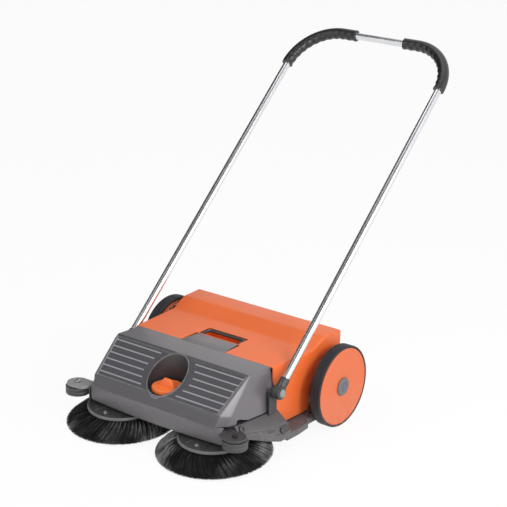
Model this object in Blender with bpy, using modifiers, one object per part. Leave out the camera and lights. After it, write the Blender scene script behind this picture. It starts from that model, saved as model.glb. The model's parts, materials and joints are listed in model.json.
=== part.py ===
# Manual push sweeper with two disc brooms that the wheels drive through gears and round belts.
# Metres, +Z up, the front looks along -Y, +X is the right side as seen from the front.
# Inside the script, y = 0 is the wheel axle; the parent empty "sweeper" moves the whole object
# so that its origin is on the floor under the middle of its outline.
import math

import bmesh
import bpy
from mathutils import Matrix, Vector

# Clearances
GAP = 0.0003                 # between faces that touch
RUN = 0.0015                 # between pieces that turn past each other

# Widths, from the middle of the sweeper; all follow the deck
DECK_HALF = 0.2435
COVER_HALF = DECK_HALF - 0.0065
BUMPER_HALF = DECK_HALF - 0.0065
RAIL_IN = DECK_HALF - 0.0075
RAIL_OUT = RAIL_IN + 0.050
HOP_INNER_HALF = DECK_HALF - 0.0185   # hopper beside the wheels
HOP_FRONT_HALF = DECK_HALF + 0.004    # the hopper widens a little towards the rear
HOP_HALF = DECK_HALF + 0.0195
BELT_X = DECK_HALF - 0.001
BRACKET_X = DECK_HALF + 0.0225
BRACKET_T = 0.006
HANDLE_HALF = DECK_HALF + 0.032        # the tubes pass outside the hopper as it is lifted
ROLLER_X = DECK_HALF + 0.0395
SWEEP_HALF = DECK_HALF + 0.085        # outermost bristle tips

# Wheels
WHEEL_R = 0.120
TYRE_W = 0.034
TYRE_T = 0.0115
WHEEL_STEPS = 36
WEB_T = 0.004
HUB_REACH = 0.010            # of the hub, inwards past the tyre
HUB_ROOM = 0.009             # from the axle bracket to the hub
HUB_R = 0.017
CAP_R = 0.027
CAP_T = 0.004
AXLE_R = 0.008
AXLE_Z = WHEEL_R
TYRE_IN = BRACKET_X + BRACKET_T + HUB_ROOM + HUB_REACH   # inner face of the tyre

# Ring gear in the wheel, pinion and belt drive
PINION_TEETH = 8
RING_TEETH = 32
TOOTH_H = 0.0025             # tooth height on each side of the pitch circle
TOOTH_SHARE = 0.35           # tooth width as a share of the pitch
ROOT_ROOM = 0.001            # between a tip and the root that it runs in
RIM_WALL = 0.0065            # of the wheel, round the ring gear
GEAR_WALL = 0.0025           # of the ring gear, behind its teeth
GEAR_W = 0.010
GEAR_IN = 0.0015             # from the tyre's inner face to the gear
PINION_ANGLE = math.radians(40)   # below level, forward of the axle
SHAFT_R = 0.005
BELT_R = 0.0025
BELT_ROOM = 0.0012           # between the belt and the bottom of a driving groove
DRIVE_PULLEY_R = 0.0120      # bottom of the groove
IDLER_R = 0.0085
BROOM_PULLEY_R = 0.0425
IDLER_H = 0.008
IDLER_PIN_R = 0.003

# Hopper, from the wheel axle
HOP_T = 0.003
HOP_ROUND = 0.006
HOP_FRONT_TOP = -0.2345
HOP_FRONT_LOW = HOP_FRONT_TOP + 0.0295
HOP_REAR = 0.072
HOP_LOW = 0.054
HOP_TOP_FRONT = 0.233
HOP_TOP_REAR = HOP_TOP_FRONT + 0.024
HOP_BAND_LOW = HOP_TOP_FRONT - 0.018  # underside of the top over the wheels
TUB_FRONT = HOP_FRONT_LOW + 0.015
TUB_LOW = HOP_LOW - 0.004
TUB_HIGH = HOP_BAND_LOW - 0.004
TUB_LIP = TUB_LOW + 0.030             # low front wall
TUB_T = 0.0025
POCKET_HALF = 0.071
POCKET_FRONT = HOP_FRONT_TOP + 0.0715
POCKET_REAR = POCKET_FRONT + 0.0485
POCKET_DEPTH = 0.0335
POCKET_T = 0.0025
BAIL_R = 0.0045
BAIL_PIN_R = 0.003
BAIL_PIVOT_Y = POCKET_FRONT + 0.011
BAIL_Z = HOP_TOP_FRONT - 0.0047

# Brooms
BROOM_Y = -0.388
DECK_Z = 0.0985
BROOM_Z = DECK_Z - 0.0385
BROOM_TILT = math.radians(4)
TIP_R = (SWEEP_HALF - RUN) / 2        # the two brooms all but touch in the middle
TIP_INNER_R = TIP_R - 0.0135
BROOM_X = TIP_R + RUN
DISC_R = TIP_R - 0.0625
DISC_T = 0.008
RING_R = DISC_R - 0.004
RING_W = 0.012
RING_H = 0.0085
TUFTS = 76                   # in each of two rows
TUFT_END = 0.28              # end of a tuft as a share of its root
FLOOR_ROOM = 0.0022          # under the middle of the lowest tips
BROOM_PIN_R = 0.008
BELT_U = 0.026               # belt plane above the middle of the disc

# Front deck, bumper and rollers
DECK_T = 0.005
DECK_FRONT = BROOM_Y - 0.055
DECK_REAR = HOP_FRONT_TOP - 0.0005
IDLER_Y = HOP_FRONT_TOP + 0.0215
IDLER_HIGH = DECK_Z - 0.008
IDLER_LOW = IDLER_HIGH - 0.016
DECK_LOBE_REAR = IDLER_Y + 0.015      # of the deck over the idlers
BUMPER_Y = BROOM_Y - 0.0655
BUMPER_LOW = DECK_Z - 0.0305
BUMPER_HIGH = DECK_Z + 0.022
BUMPER_T = 0.004
BUMPER_BOW = 0.012
ROLLER_Y = BROOM_Y - 0.059
ROLLER_R = 0.035
ROLLER_LOW = DECK_Z - 0.0175
ROLLER_H = 0.025
ROLLER_BOLT_R = 0.004

# Front cover and knob
COVER_T = 0.003
WELL_R = 0.056
WELL_FLOOR = DECK_Z + 0.0515
COVER_REAR = HOP_FRONT_TOP - RUN
COVER_TOP_FRONT = BROOM_Y + WELL_R + COVER_T
COVER_TOP_Z = HOP_TOP_FRONT + 0.005
COVER_FACE_LOW = (BROOM_Y - 0.057, WELL_FLOOR)
COVER_FOOT_Z = DECK_Z + 0.0235
KNOB_R = WELL_R - 0.011
KNOB_H = 0.010
KNOB_GRIP_H = 0.024
SPINDLE_R = 0.004
TAB_REAR = POCKET_FRONT - 0.0035
RIBS = 6
RIB_PITCH = 0.0172
RIB_START = 0.016            # from the top edge of the face to the first rib

# Support caster under the knob's carriage
CASTER_Y = COVER_REAR - 0.026
CASTER_R = 0.025
CASTER_W = 0.022
CASTER_AXLE_R = 0.003
CARRIAGE_Z = DECK_Z - 0.0205
CARRIAGE_T = 0.010
CARRIAGE_HALF = 0.012

# Chassis sides
RAIL_LOW = 0.030
RAIL_T = 0.020
RAIL_FRONT = COVER_REAR + 0.014
RAIL_REAR = HOP_REAR - 0.007
WING_T = 0.004

# Handle
PIVOT_Y = COVER_REAR - 0.0115
PIVOT_Z = DECK_Z + 0.0735
HANDLE_TILT = math.radians(47)
HANDLE_L = 1.187             # pivot to the middle of the crossbar
HANDLE_BEND = 0.140
TUBE_R = 0.011
TUBE_T = 0.0012
TUBE_START = 0.030
GRIP_T = 0.007
GRIP_R = TUBE_R + GRIP_T
GRIP_START = HANDLE_L - 0.143
GRIP_END = 0.088
SOCKET_R = TUBE_R + 0.0025
SOCKET_END = TUBE_START + 0.014
KNUCKLE_R = 0.019
KNUCKLE_W = 0.0274
PIVOT_BOLT_R = 0.005
PIVOT_BRACKET_T = 0.004

# Worked out from the above
RIM_R = WHEEL_R - TYRE_T
GEAR_ROOT_R = RIM_R - RIM_WALL - GEAR_WALL
GEAR_R = GEAR_ROOT_R - ROOT_ROOM - TOOTH_H
PINION_R = GEAR_R * PINION_TEETH / RING_TEETH
PINION_Y = -(GEAR_R - PINION_R) * math.cos(PINION_ANGLE)
PINION_Z = AXLE_Z - (GEAR_R - PINION_R) * math.sin(PINION_ANGLE)
HOP_STEP_Y = PINION_Y - 0.011         # rear edge of the hopper's side skirt
IDLER_X = BELT_X - IDLER_R - BELT_R - GAP
TIP_DROP = (BROOM_Z - FLOOR_ROOM - TIP_INNER_R * math.sin(BROOM_TILT)) / math.cos(BROOM_TILT)
TIP_OUTER_DROP = TIP_DROP - 0.002
FRONT_REACH = -BROOM_Y + TIP_R * math.cos(BROOM_TILT) - TIP_OUTER_DROP * math.sin(BROOM_TILT)
REAR_REACH = PIVOT_Y + HANDLE_L * math.sin(HANDLE_TILT) + GRIP_R
AXLE_Y = (FRONT_REACH - REAR_REACH) / 2

COLOURS = {
    "orange plastic": ((0.86, 0.150, 0.040), 0.38, 0.0),
    "wheel orange": ((0.87, 0.215, 0.075), 0.42, 0.0),
    "dark plastic": ((0.115, 0.115, 0.120), 0.50, 0.0),
    "grey plastic": ((0.200, 0.200, 0.205), 0.50, 0.0),
    "black rubber": ((0.028, 0.028, 0.030), 0.75, 0.0),
    "bristle black": ((0.018, 0.018, 0.020), 0.45, 0.0),
    "grip foam": ((0.020, 0.020, 0.022), 0.85, 0.0),
    "chrome steel": ((0.80, 0.80, 0.82), 0.18, 1.0),
    "zinc steel": ((0.55, 0.56, 0.58), 0.35, 1.0),
    "natural nylon": ((0.62, 0.61, 0.57), 0.45, 0.0),
}


# Scene, collections and materials
def start_scene():
    for obj in list(bpy.data.objects):
        bpy.data.objects.remove(obj, do_unlink=True)
    groups = []
    for name in ("floor_sweeper", "cutters"):
        group = bpy.data.collections.new(name)
        bpy.context.scene.collection.children.link(group)
        groups.append(group)
    return groups


PARTS, CUTTERS = start_scene()
RIGHT_PIECES = []            # pieces that get a left copy


def material(name):
    found = bpy.data.materials.get(name)
    if found:
        return found
    colour, rough, metal = COLOURS[name]
    made = bpy.data.materials.new(name)
    made.use_nodes = True
    shader = made.node_tree.nodes["Principled BSDF"]
    shader.inputs["Base Color"].default_value = (*colour, 1.0)
    shader.inputs["Roughness"].default_value = rough
    shader.inputs["Metallic"].default_value = metal
    made.diffuse_color = (*colour, 1.0)
    return made


def empty(name, location, rotation=(0, 0, 0), parent=None):
    obj = bpy.data.objects.new(name, None)
    obj.location = location
    obj.rotation_euler = rotation
    obj.parent = parent
    PARTS.objects.link(obj)
    return obj


ROOT = empty("sweeper", (0, AXLE_Y, 0))
HANDLE = empty("handle_pivot", (0, PIVOT_Y, PIVOT_Z), (-HANDLE_TILT, 0, 0), ROOT)
BROOM = {
    side: empty("broom_axis_" + side, (x, BROOM_Y, BROOM_Z), (BROOM_TILT, 0, 0), ROOT)
    for side, x in (("right", BROOM_X), ("left", -BROOM_X))
}


def place(name, mesh, finish=None, parent=ROOT, location=(0, 0, 0), rotation=(0, 0, 0)):
    """Make an object: with a finish it is a piece, without one it is a cutter or a tool shape."""
    obj = bpy.data.objects.new(name, mesh)
    obj.parent = parent
    obj.location = location
    obj.rotation_euler = rotation
    if finish:
        mesh.materials.clear()
        mesh.materials.append(material(finish))
        PARTS.objects.link(obj)
    else:
        obj.display_type = "WIRE"
        obj.hide_render = True
        CUTTERS.objects.link(obj)
    return obj


def make_piece(obj, finish):
    """Turn a tool shape into a piece of the object."""
    CUTTERS.objects.unlink(obj)
    PARTS.objects.link(obj)
    obj.display_type = "TEXTURED"
    obj.hide_render = False
    obj.data.materials.append(material(finish))


# Shapes
def block(name, x, y, z, finish=None, parent=ROOT):
    """A box between the given limits along each axis."""
    mesh = bpy.data.meshes.new(name)
    bm = bmesh.new()
    bmesh.ops.create_cube(bm, size=1.0)
    size = (x[1] - x[0], y[1] - y[0], z[1] - z[0])
    bmesh.ops.scale(bm, vec=size, verts=bm.verts)
    bm.to_mesh(mesh)
    bm.free()
    middle = [(a + b) / 2 for a, b in (x, y, z)]
    return place(name, mesh, finish, parent, middle)


TURNS = {"X": (0, math.pi / 2, 0), "Y": (-math.pi / 2, 0, 0), "Z": (0, 0, 0)}


def rod(name, radius, span, axis, at, sides=24, finish=None, parent=ROOT):
    """A cylinder along an axis, between the two ends of span; at gives its place on the others."""
    mesh = bpy.data.meshes.new(name)
    bm = bmesh.new()
    bmesh.ops.create_cone(bm, cap_ends=True, segments=sides, radius1=radius, radius2=radius,
                          depth=span[1] - span[0])
    bm.to_mesh(mesh)
    bm.free()
    location = list(at)
    location["XYZ".index(axis)] = (span[0] + span[1]) / 2
    return place(name, mesh, finish, parent, location, TURNS[axis])


def turned(name, profile, steps, finish=None, parent=ROOT, location=(0, 0, 0), axis="Z"):
    """A turned shape: the profile is (radius, height), down the outside and back up the inside."""
    mesh = bpy.data.meshes.new(name)
    count = len(profile)
    solid = min(radius for radius, _ in profile) <= 0
    last = count - 1 if solid else count
    mesh.from_pydata([(r, 0, z) for r, z in profile], [(i, (i + 1) % count) for i in range(last)], [])
    obj = place(name, mesh, finish, parent, location, TURNS[axis])
    screw = obj.modifiers.new("turn", "SCREW")
    screw.axis = "Z"
    screw.steps = screw.render_steps = steps
    screw.use_merge_vertices = True
    screw.merge_threshold = 0.00001
    return obj


def curve_mesh(curve, name):
    """Turn a curve into a mesh with welded caps, and remove the curve."""
    holder = bpy.data.objects.new(name + " curve", curve)
    CUTTERS.objects.link(holder)
    bpy.context.view_layer.update()
    mesh = bpy.data.meshes.new_from_object(holder.evaluated_get(bpy.context.evaluated_depsgraph_get()))
    mesh.name = name
    bm = bmesh.new()
    bm.from_mesh(mesh)
    bmesh.ops.remove_doubles(bm, verts=bm.verts, dist=0.000001)
    bm.to_mesh(mesh)
    bm.free()
    bpy.data.objects.remove(holder)
    bpy.data.curves.remove(curve)
    return mesh


def plate(name, outline, span, axis="Z", finish=None, parent=ROOT):
    """A flat outline, given as (x, y) for Z or (y, z) for X, extruded along its axis."""
    curve = bpy.data.curves.new(name, "CURVE")
    curve.dimensions = "2D"
    curve.fill_mode = "BOTH"
    curve.extrude = (span[1] - span[0]) / 2
    spline = curve.splines.new("POLY")
    spline.points.add(len(outline) - 1)
    for point, (u, v) in zip(spline.points, outline):
        point.co = (u, v, 0, 1)
    spline.use_cyclic_u = True
    middle = (span[0] + span[1]) / 2
    location = (middle, 0, 0) if axis == "X" else (0, 0, middle)
    rotation = (math.pi / 2, 0, math.pi / 2) if axis == "X" else (0, 0, 0)
    return place(name, curve_mesh(curve, name), finish, parent, location, rotation)


def wire(name, points, radius, sides=8, cyclic=False, finish=None, parent=ROOT):
    """A round tube or rod along the points."""
    curve = bpy.data.curves.new(name, "CURVE")
    curve.dimensions = "3D"
    curve.bevel_depth = radius
    curve.bevel_resolution = sides // 2 - 2
    curve.use_fill_caps = not cyclic
    spline = curve.splines.new("POLY")
    spline.points.add(len(points) - 1)
    for point, co in zip(spline.points, points):
        point.co = (*co, 1)
    spline.use_cyclic_u = cyclic
    return place(name, curve_mesh(curve, name), finish, parent)


def loft(name, loops, finish=None, parent=ROOT):
    """A solid skin over closed loops of equal counts, with both ends capped."""
    bm = bmesh.new()
    rings = [[bm.verts.new(co) for co in loop] for loop in loops]
    count = len(loops[0])
    for one, two in zip(rings, rings[1:]):
        for i in range(count):
            j = (i + 1) % count
            bm.faces.new((one[i], one[j], two[j], two[i]))
    bm.faces.new(list(reversed(rings[0])))
    bm.faces.new(rings[-1])
    bmesh.ops.recalc_face_normals(bm, faces=bm.faces)
    mesh = bpy.data.meshes.new(name)
    bm.to_mesh(mesh)
    bm.free()
    return place(name, mesh, finish, parent)


def sheet(name, rows, thickness, finish=None, parent=ROOT):
    """A shell: rows of points make the outer surface, and the wall is added behind it."""
    bm = bmesh.new()
    grid = [[bm.verts.new(co) for co in row] for row in rows]
    for one, two in zip(grid, grid[1:]):
        for i in range(len(one) - 1):
            bm.faces.new((one[i], two[i], two[i + 1], one[i + 1]))
    mesh = bpy.data.meshes.new(name)
    bm.to_mesh(mesh)
    bm.free()
    obj = place(name, mesh, finish, parent)
    obj["wall"] = thickness
    return obj


# Modifiers
def thicken(obj):
    wall = obj.modifiers.new("wall", "SOLIDIFY")
    wall.thickness = obj["wall"]
    wall.offset = -1
    wall.use_even_offset = True


def mirror(obj):
    other = obj.modifiers.new("mirror", "MIRROR")
    other.use_clip = True
    other.merge_threshold = 0.00001


def round_edges(obj, width, segments=2, angle=30):
    edge = obj.modifiers.new("rounding", "BEVEL")
    edge.width = width
    edge.segments = segments
    edge.limit_method = "ANGLE"
    edge.angle_limit = math.radians(angle)


def boolean(obj, tools, operation):
    for tool in tools:
        step = obj.modifiers.new(operation.lower(), "BOOLEAN")
        step.operation = operation
        step.object = tool
        step.solver = "EXACT"


def cut(obj, *tools):
    boolean(obj, tools, "DIFFERENCE")


def fuse(obj, *tools):
    boolean(obj, tools, "UNION")


def both_sides(obj, joint_parent=None):
    """Ask for a left copy of a piece on the right."""
    RIGHT_PIECES.append((obj, joint_parent))
    return obj


def rounded_path(corners, radius, steps):
    """Points along straight runs whose inner corners are arcs."""
    corners = [Vector(c) for c in corners]
    path = [corners[0]]
    for before, corner, after in zip(corners, corners[1:], corners[2:]):
        into = (corner - before).normalized()
        out = (after - corner).normalized()
        turn = into.angle(out)
        reach = radius * math.tan(turn / 2)
        centre = corner + (out - into).normalized() * (radius / math.cos(turn / 2))
        start = corner - into * reach - centre
        axis = into.cross(out).normalized()
        for step in range(steps + 1):
            path.append(centre + Matrix.Rotation(turn * step / steps, 3, axis) @ start)
    path.append(corners[-1])
    return path


# Wheels
def gear_outline(teeth, root_r, tip_r, turn):
    """Straight-sided teeth; the tip lies inside the root circle on a ring gear."""
    half = TOOTH_SHARE * math.pi / teeth
    slope = 0.4 * half
    points = []
    for k in range(teeth):
        middle = turn + 2 * math.pi * k / teeth
        for angle, radius in ((-half - slope, root_r), (-half + slope, tip_r),
                              (half - slope, tip_r), (half + slope, root_r)):
            points.append((radius * math.cos(middle + angle), radius * math.sin(middle + angle)))
    return points


def wheels():
    out = TYRE_IN + TYRE_W
    crown = 0.003
    tyre = [(WHEEL_R, TYRE_W - 3 * crown), (WHEEL_R, 3 * crown), (WHEEL_R - crown, 0.0),
            (RIM_R + GAP, 0.0), (RIM_R + GAP, TYRE_W), (WHEEL_R - crown, TYRE_W)]
    both_sides(turned("tyre_right", tyre, WHEEL_STEPS, "black rubber", ROOT,
                      (TYRE_IN, 0, AXLE_Z), "X"))
    rim_in = RIM_R - RIM_WALL
    face = TYRE_W - 0.001
    disc = [(RIM_R, face), (RIM_R, 0.001), (rim_in, 0.001), (rim_in, face - 2 * WEB_T),
            (rim_in - 0.008, face - WEB_T), (HUB_R, face - WEB_T), (HUB_R, -HUB_REACH),
            (AXLE_R + GAP, -HUB_REACH), (AXLE_R + GAP, face)]
    both_sides(turned("wheel_right", disc, WHEEL_STEPS, "wheel orange", ROOT, (TYRE_IN, 0, AXLE_Z), "X"))
    contact = math.pi + PINION_ANGLE
    teeth = gear_outline(RING_TEETH, GEAR_ROOT_R, GEAR_R - TOOTH_H, contact + math.pi / RING_TEETH)
    inner = TYRE_IN + GEAR_IN
    outer = rim_in * math.cos(math.pi / WHEEL_STEPS) - GAP
    gear = plate("ring_gear_right", circle(0, 0, outer, RING_TEETH), (inner, inner + GEAR_W), "X",
                 "natural nylon")
    hole = plate("ring gear teeth", teeth, (inner - 0.01, inner + GEAR_W + 0.01), "X")
    gear.location.z = hole.location.z = AXLE_Z
    cut(gear, hole)
    both_sides(gear)
    cap = [(0, CAP_T), (CAP_R * 0.6, CAP_T), (CAP_R - 0.002, CAP_T * 0.75), (CAP_R, 0.001), (CAP_R, 0),
           (0, 0)]
    both_sides(turned("hub_cap_right", cap, 22, "dark plastic", ROOT,
                      (out - 0.001 + GAP, 0, AXLE_Z), "X"))


def circle(x, y, radius, steps, start=0.0, sweep=2 * math.pi):
    """Points on an arc; a full turn leaves out the repeated last point."""
    count = steps if sweep >= 2 * math.pi - 1e-6 else steps + 1
    return [(x + radius * math.cos(start + sweep * k / steps),
             y + radius * math.sin(start + sweep * k / steps)) for k in range(count)]


# Drive from wheel to broom
def pulley_profile(groove_r, width, bore_r, lip=0.0045, land=0.0030):
    """A groove for the round belt between two lips."""
    half = width / 2
    return [(groove_r + lip, half), (groove_r, land / 2), (groove_r, -land / 2),
            (groove_r + lip, -half), (bore_r, -half), (bore_r, half)]


def drive():
    inner = TYRE_IN + GEAR_IN
    teeth = gear_outline(PINION_TEETH, PINION_R - TOOTH_H - ROOT_ROOM, PINION_R + TOOTH_H,
                         math.pi + PINION_ANGLE)
    pinion = plate("drive_pinion_right", teeth, (inner, inner + GEAR_W), "X", "natural nylon")
    pinion.location.y = PINION_Y
    pinion.location.z = PINION_Z
    shaft = rod("pinion shaft", SHAFT_R, (BELT_X - 0.007, inner + 0.004), "X", (0, PINION_Y, PINION_Z), 16)
    fuse(pinion, shaft)
    both_sides(pinion)
    both_sides(turned("drive_pulley_right", pulley_profile(DRIVE_PULLEY_R, 0.011, SHAFT_R + GAP), 18,
                      "natural nylon", ROOT, (BELT_X, PINION_Y, PINION_Z), "X"))
    for name, z in (("upper_idler_right", IDLER_HIGH), ("lower_idler_right", IDLER_LOW)):
        both_sides(turned(name, pulley_profile(IDLER_R, IDLER_H, IDLER_PIN_R + GAP, 0.003), 12,
                          "natural nylon", ROOT, (IDLER_X, IDLER_Y, z)))
    half = IDLER_H / 2 + GAP
    top = DECK_Z - GAP
    collar = IDLER_PIN_R + 0.0025
    pin = [(0, top), (collar, top), (collar, IDLER_HIGH + half), (IDLER_PIN_R, IDLER_HIGH + half),
           (IDLER_PIN_R, IDLER_HIGH - half), (collar, IDLER_HIGH - half), (collar, IDLER_LOW + half),
           (IDLER_PIN_R, IDLER_LOW + half), (IDLER_PIN_R, IDLER_LOW - half), (collar, IDLER_LOW - half),
           (collar, IDLER_LOW - half - 0.002), (0, IDLER_LOW - half - 0.002)]
    both_sides(turned("idler_pin_right", pin, 10, "zinc steel", ROOT, (IDLER_X, IDLER_Y, 0)))
    both_sides(wire("drive_belt_right", belt_path(), BELT_R, 6, True, "black rubber"))


def belt_path():
    """Round the drive pulley, over the idlers and round the broom pulley, as a closed loop."""
    drive_r = DRIVE_PULLEY_R + BELT_R + BELT_ROOM
    broom_r = BROOM_PULLEY_R + BELT_R + BELT_ROOM
    idler_r = IDLER_R + BELT_R + GAP
    centre = Vector((BROOM_X, BROOM_Y + math.sin(-BROOM_TILT) * BELT_U))
    idler = Vector((IDLER_X, IDLER_Y))

    def broom_point(angle):
        across = Vector((broom_r * math.cos(angle), broom_r * math.sin(angle), BELT_U))
        return Matrix.Rotation(BROOM_TILT, 3, "X") @ across + Vector((BROOM_X, BROOM_Y, BROOM_Z))

    def run_angle(side):
        """Direction of the straight run from the idler to one side of the broom pulley."""
        line = centre - idler
        base = math.atan2(line.y, line.x)
        return base + side * math.asin((broom_r - side * idler_r) / line.length)

    path = []
    for k in range(9):
        angle = -math.pi / 2 + math.pi * k / 8
        path.append((BELT_X, PINION_Y + drive_r * math.cos(angle), PINION_Z + drive_r * math.sin(angle)))
    outer = run_angle(1)
    inner = run_angle(-1)
    for k in range(3):
        angle = outer * k / 2 + (-math.pi / 2) * (1 - k / 2) + math.pi / 2
        path.append((idler.x + idler_r * math.cos(angle), idler.y + idler_r * math.sin(angle), IDLER_HIGH))
    start = outer + math.pi / 2
    end = inner - math.pi / 2
    while end > start:
        end -= 2 * math.pi
    steps = max(8, round((start - end) / math.radians(15)))
    path += [tuple(broom_point(start + (end - start) * k / steps)) for k in range(steps + 1)]
    for k in range(4):
        angle = inner * (1 - k / 3) + (-math.pi / 2) * k / 3 + math.pi / 2
        path.append((idler.x + idler_r * math.cos(angle), idler.y + idler_r * math.sin(angle), IDLER_LOW))
    return path


# Brooms
def brooms():
    parent = BROOM["right"]
    bore = BROOM_PIN_R + GAP
    half = DISC_T / 2
    disc = [(0.030, half), (DISC_R - 0.012, half), (DISC_R, half - 0.003), (DISC_R, -half),
            (bore, -half), (bore, half + 0.012), (0.020, half + 0.012)]
    both_sides(turned("broom_disc_right", disc, 32, "grey plastic", parent), "broom")
    both_sides(bristles(parent), "broom")
    low = half + 0.012 + GAP
    lip = BROOM_PULLEY_R + 0.0055
    wheel = [(lip, BELT_U + 0.006), (BROOM_PULLEY_R, BELT_U + 0.002),
             (BROOM_PULLEY_R, BELT_U - 0.002), (lip, BELT_U - 0.006),
             (0.020, BELT_U - 0.006), (0.020, low), (bore, low), (bore, BELT_U + 0.006)]
    both_sides(turned("broom_pulley_right", wheel, 22, "natural nylon", parent), "broom")
    top = (DECK_Z - BROOM_Z) / math.cos(BROOM_TILT) - 0.0022
    flange = BELT_U + 0.006 + RUN
    collar = -half - GAP
    pin = [(0, top), (0.020, top), (0.020, flange), (BROOM_PIN_R, flange), (BROOM_PIN_R, collar),
           (0.013, collar), (0.013, collar - 0.005), (0, collar - 0.005)]
    both_sides(turned("broom_pin_right", pin, 16, "zinc steel", parent), "broom")


def bristles(parent):
    """Two rows of tufts drawn out of the outer and lower faces of a ring under the disc."""
    top = -DISC_T / 2 - GAP
    low = top - RING_H
    section = ((RING_R - RING_W, top), (RING_R, top), (RING_R, low), (RING_R - RING_W, low))
    bm = bmesh.new()
    turn = 2 * math.pi / TUFTS
    rings = [[bm.verts.new((r * math.cos(turn * k), r * math.sin(turn * k), z)) for k in range(TUFTS)]
             for r, z in section]
    rows = {1: (TIP_R, -TIP_OUTER_DROP, 0.0), 2: (TIP_INNER_R, -TIP_DROP, 0.5)}
    tufts = []
    for row in range(4):
        one, two = rings[row], rings[(row + 1) % 4]
        for k in range(TUFTS):
            j = (k + 1) % TUFTS
            face = bm.faces.new((one[k], two[k], two[j], one[j]))
            if row in rows:
                tufts.append((face, rows[row], k))
    bm.normal_update()
    for face, (radius, height, shift), k in tufts:
        angle = turn * (k + 0.5 + shift)
        tip = Vector((radius * math.cos(angle), radius * math.sin(angle), height))
        end = bmesh.ops.extrude_discrete_faces(bm, faces=[face])["faces"][0]
        middle = end.calc_center_median()
        for vert in end.verts:
            vert.co = tip + (vert.co - middle) * TUFT_END
    bmesh.ops.recalc_face_normals(bm, faces=bm.faces)
    mesh = bpy.data.meshes.new("broom_bristles_right")
    bm.to_mesh(mesh)
    bm.free()
    return place("broom_bristles_right", mesh, "bristle black", parent)


# Front deck, bumper, rollers and chassis sides
def deck():
    outline = [(0, DECK_FRONT + 0.001), (DECK_HALF - 0.0285, DECK_FRONT + 0.009),
               (DECK_HALF, DECK_FRONT + 0.030), (DECK_HALF, DECK_LOBE_REAR),
               (DECK_HALF - 0.0385, DECK_LOBE_REAR), (DECK_HALF - 0.0585, DECK_REAR), (0, DECK_REAR)]
    full = outline + [(-x, y) for x, y in reversed(outline[1:-1])]
    top = plate("front_deck", full, (DECK_Z, DECK_Z + DECK_T), "Z", "dark plastic")
    cut(top, rod("spindle hole", SPINDLE_R + RUN, (DECK_Z - 0.01, DECK_Z + 0.02), "Z", (0, BROOM_Y, 0), 20))
    shelf = DECK_Z + DECK_T + GAP
    sections = []
    for k in range(7):
        x = BUMPER_HALF * k / 6
        back = BUMPER_BOW * (x / BUMPER_HALF) ** 2
        front = BUMPER_Y + back
        lower = front + 0.004
        sections.append([(x, front, BUMPER_HIGH), (x, lower, BUMPER_LOW),
                         (x, lower + BUMPER_T, BUMPER_LOW), (x, lower + BUMPER_T, shelf),
                         (x, lower + 0.034, shelf), (x, lower + 0.034, shelf + BUMPER_T),
                         (x, lower + BUMPER_T, shelf + BUMPER_T), (x, front + BUMPER_T, BUMPER_HIGH)])
    half = loft("front_bumper", sections, "dark plastic")
    open_at_middle(half)
    mirror(half)


def open_at_middle(obj):
    """Take away the face on the mirror plane."""
    bm = bmesh.new()
    bm.from_mesh(obj.data)
    middle = [f for f in bm.faces if all(abs(v.co.x) < 1e-6 for v in f.verts)]
    bmesh.ops.delete(bm, geom=middle, context="FACES_ONLY")
    bm.to_mesh(obj.data)
    bm.free()


def rollers():
    low = DECK_Z + DECK_T + BUMPER_T + 2 * GAP
    high = low + 0.006
    nose = circle(ROLLER_X, ROLLER_Y, 0.027, 12, math.radians(-140), math.radians(225))
    inner, neck = ROLLER_X - 0.078, ROLLER_X - 0.0445
    outline = [(inner, ROLLER_Y + 0.0335), (inner, ROLLER_Y + 0.0185), (neck, ROLLER_Y + 0.015)] + nose + [
        (neck, ROLLER_Y + 0.0265)]
    arm = plate("roller_bracket_right", outline, (low, high), "Z", "dark plastic")
    cut(arm, rod("roller bolt hole", ROLLER_BOLT_R + GAP, (low - 0.01, high + 0.01), "Z",
                 (ROLLER_X, ROLLER_Y, 0), 16))
    both_sides(arm)
    edge = 0.003
    body = [(ROLLER_R - edge, ROLLER_H), (ROLLER_R, ROLLER_H - edge), (ROLLER_R, edge),
            (ROLLER_R - edge, 0), (ROLLER_BOLT_R + GAP, 0), (ROLLER_BOLT_R + GAP, ROLLER_H)]
    both_sides(turned("guide_roller_right", body, 24, "grey plastic", ROOT,
                      (ROLLER_X, ROLLER_Y, ROLLER_LOW)))
    head = high + GAP
    foot = ROLLER_LOW - GAP
    bolt = [(0, head + 0.005), (0.0075, head + 0.005), (0.0085, head + 0.003), (0.0085, head),
            (ROLLER_BOLT_R, head), (ROLLER_BOLT_R, foot), (0.0085, foot), (0.0085, foot - 0.005),
            (0, foot - 0.005)]
    both_sides(turned("roller_bolt_right", bolt, 12, "zinc steel", ROOT, (ROLLER_X, ROLLER_Y, 0)))


# Underside of the wing: y, then (x past the deck's edge, z above the deck) of its inner edge, its fold
# and its lower edge
WING = (
    (BROOM_Y - 0.020, (0.0060, 0.0180), (0.0165, 0.0015), (0.0185, -0.0145)),
    (BROOM_Y + 0.018, (0.0065, 0.0145), (0.0235, -0.0035), (0.0305, -0.0245)),
    (BROOM_Y + 0.068, (0.0065, 0.0105), (0.0345, -0.0115), (0.0495, -0.0425)),
    (COVER_REAR - 0.039, (0.0065, 0.0075), (0.0405, -0.0165), (0.0625, -0.0555)),
    (COVER_REAR + 0.016, (0.0065, 0.0050), (0.0405, -0.0195), (0.0625, -0.0585)),
)


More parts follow.
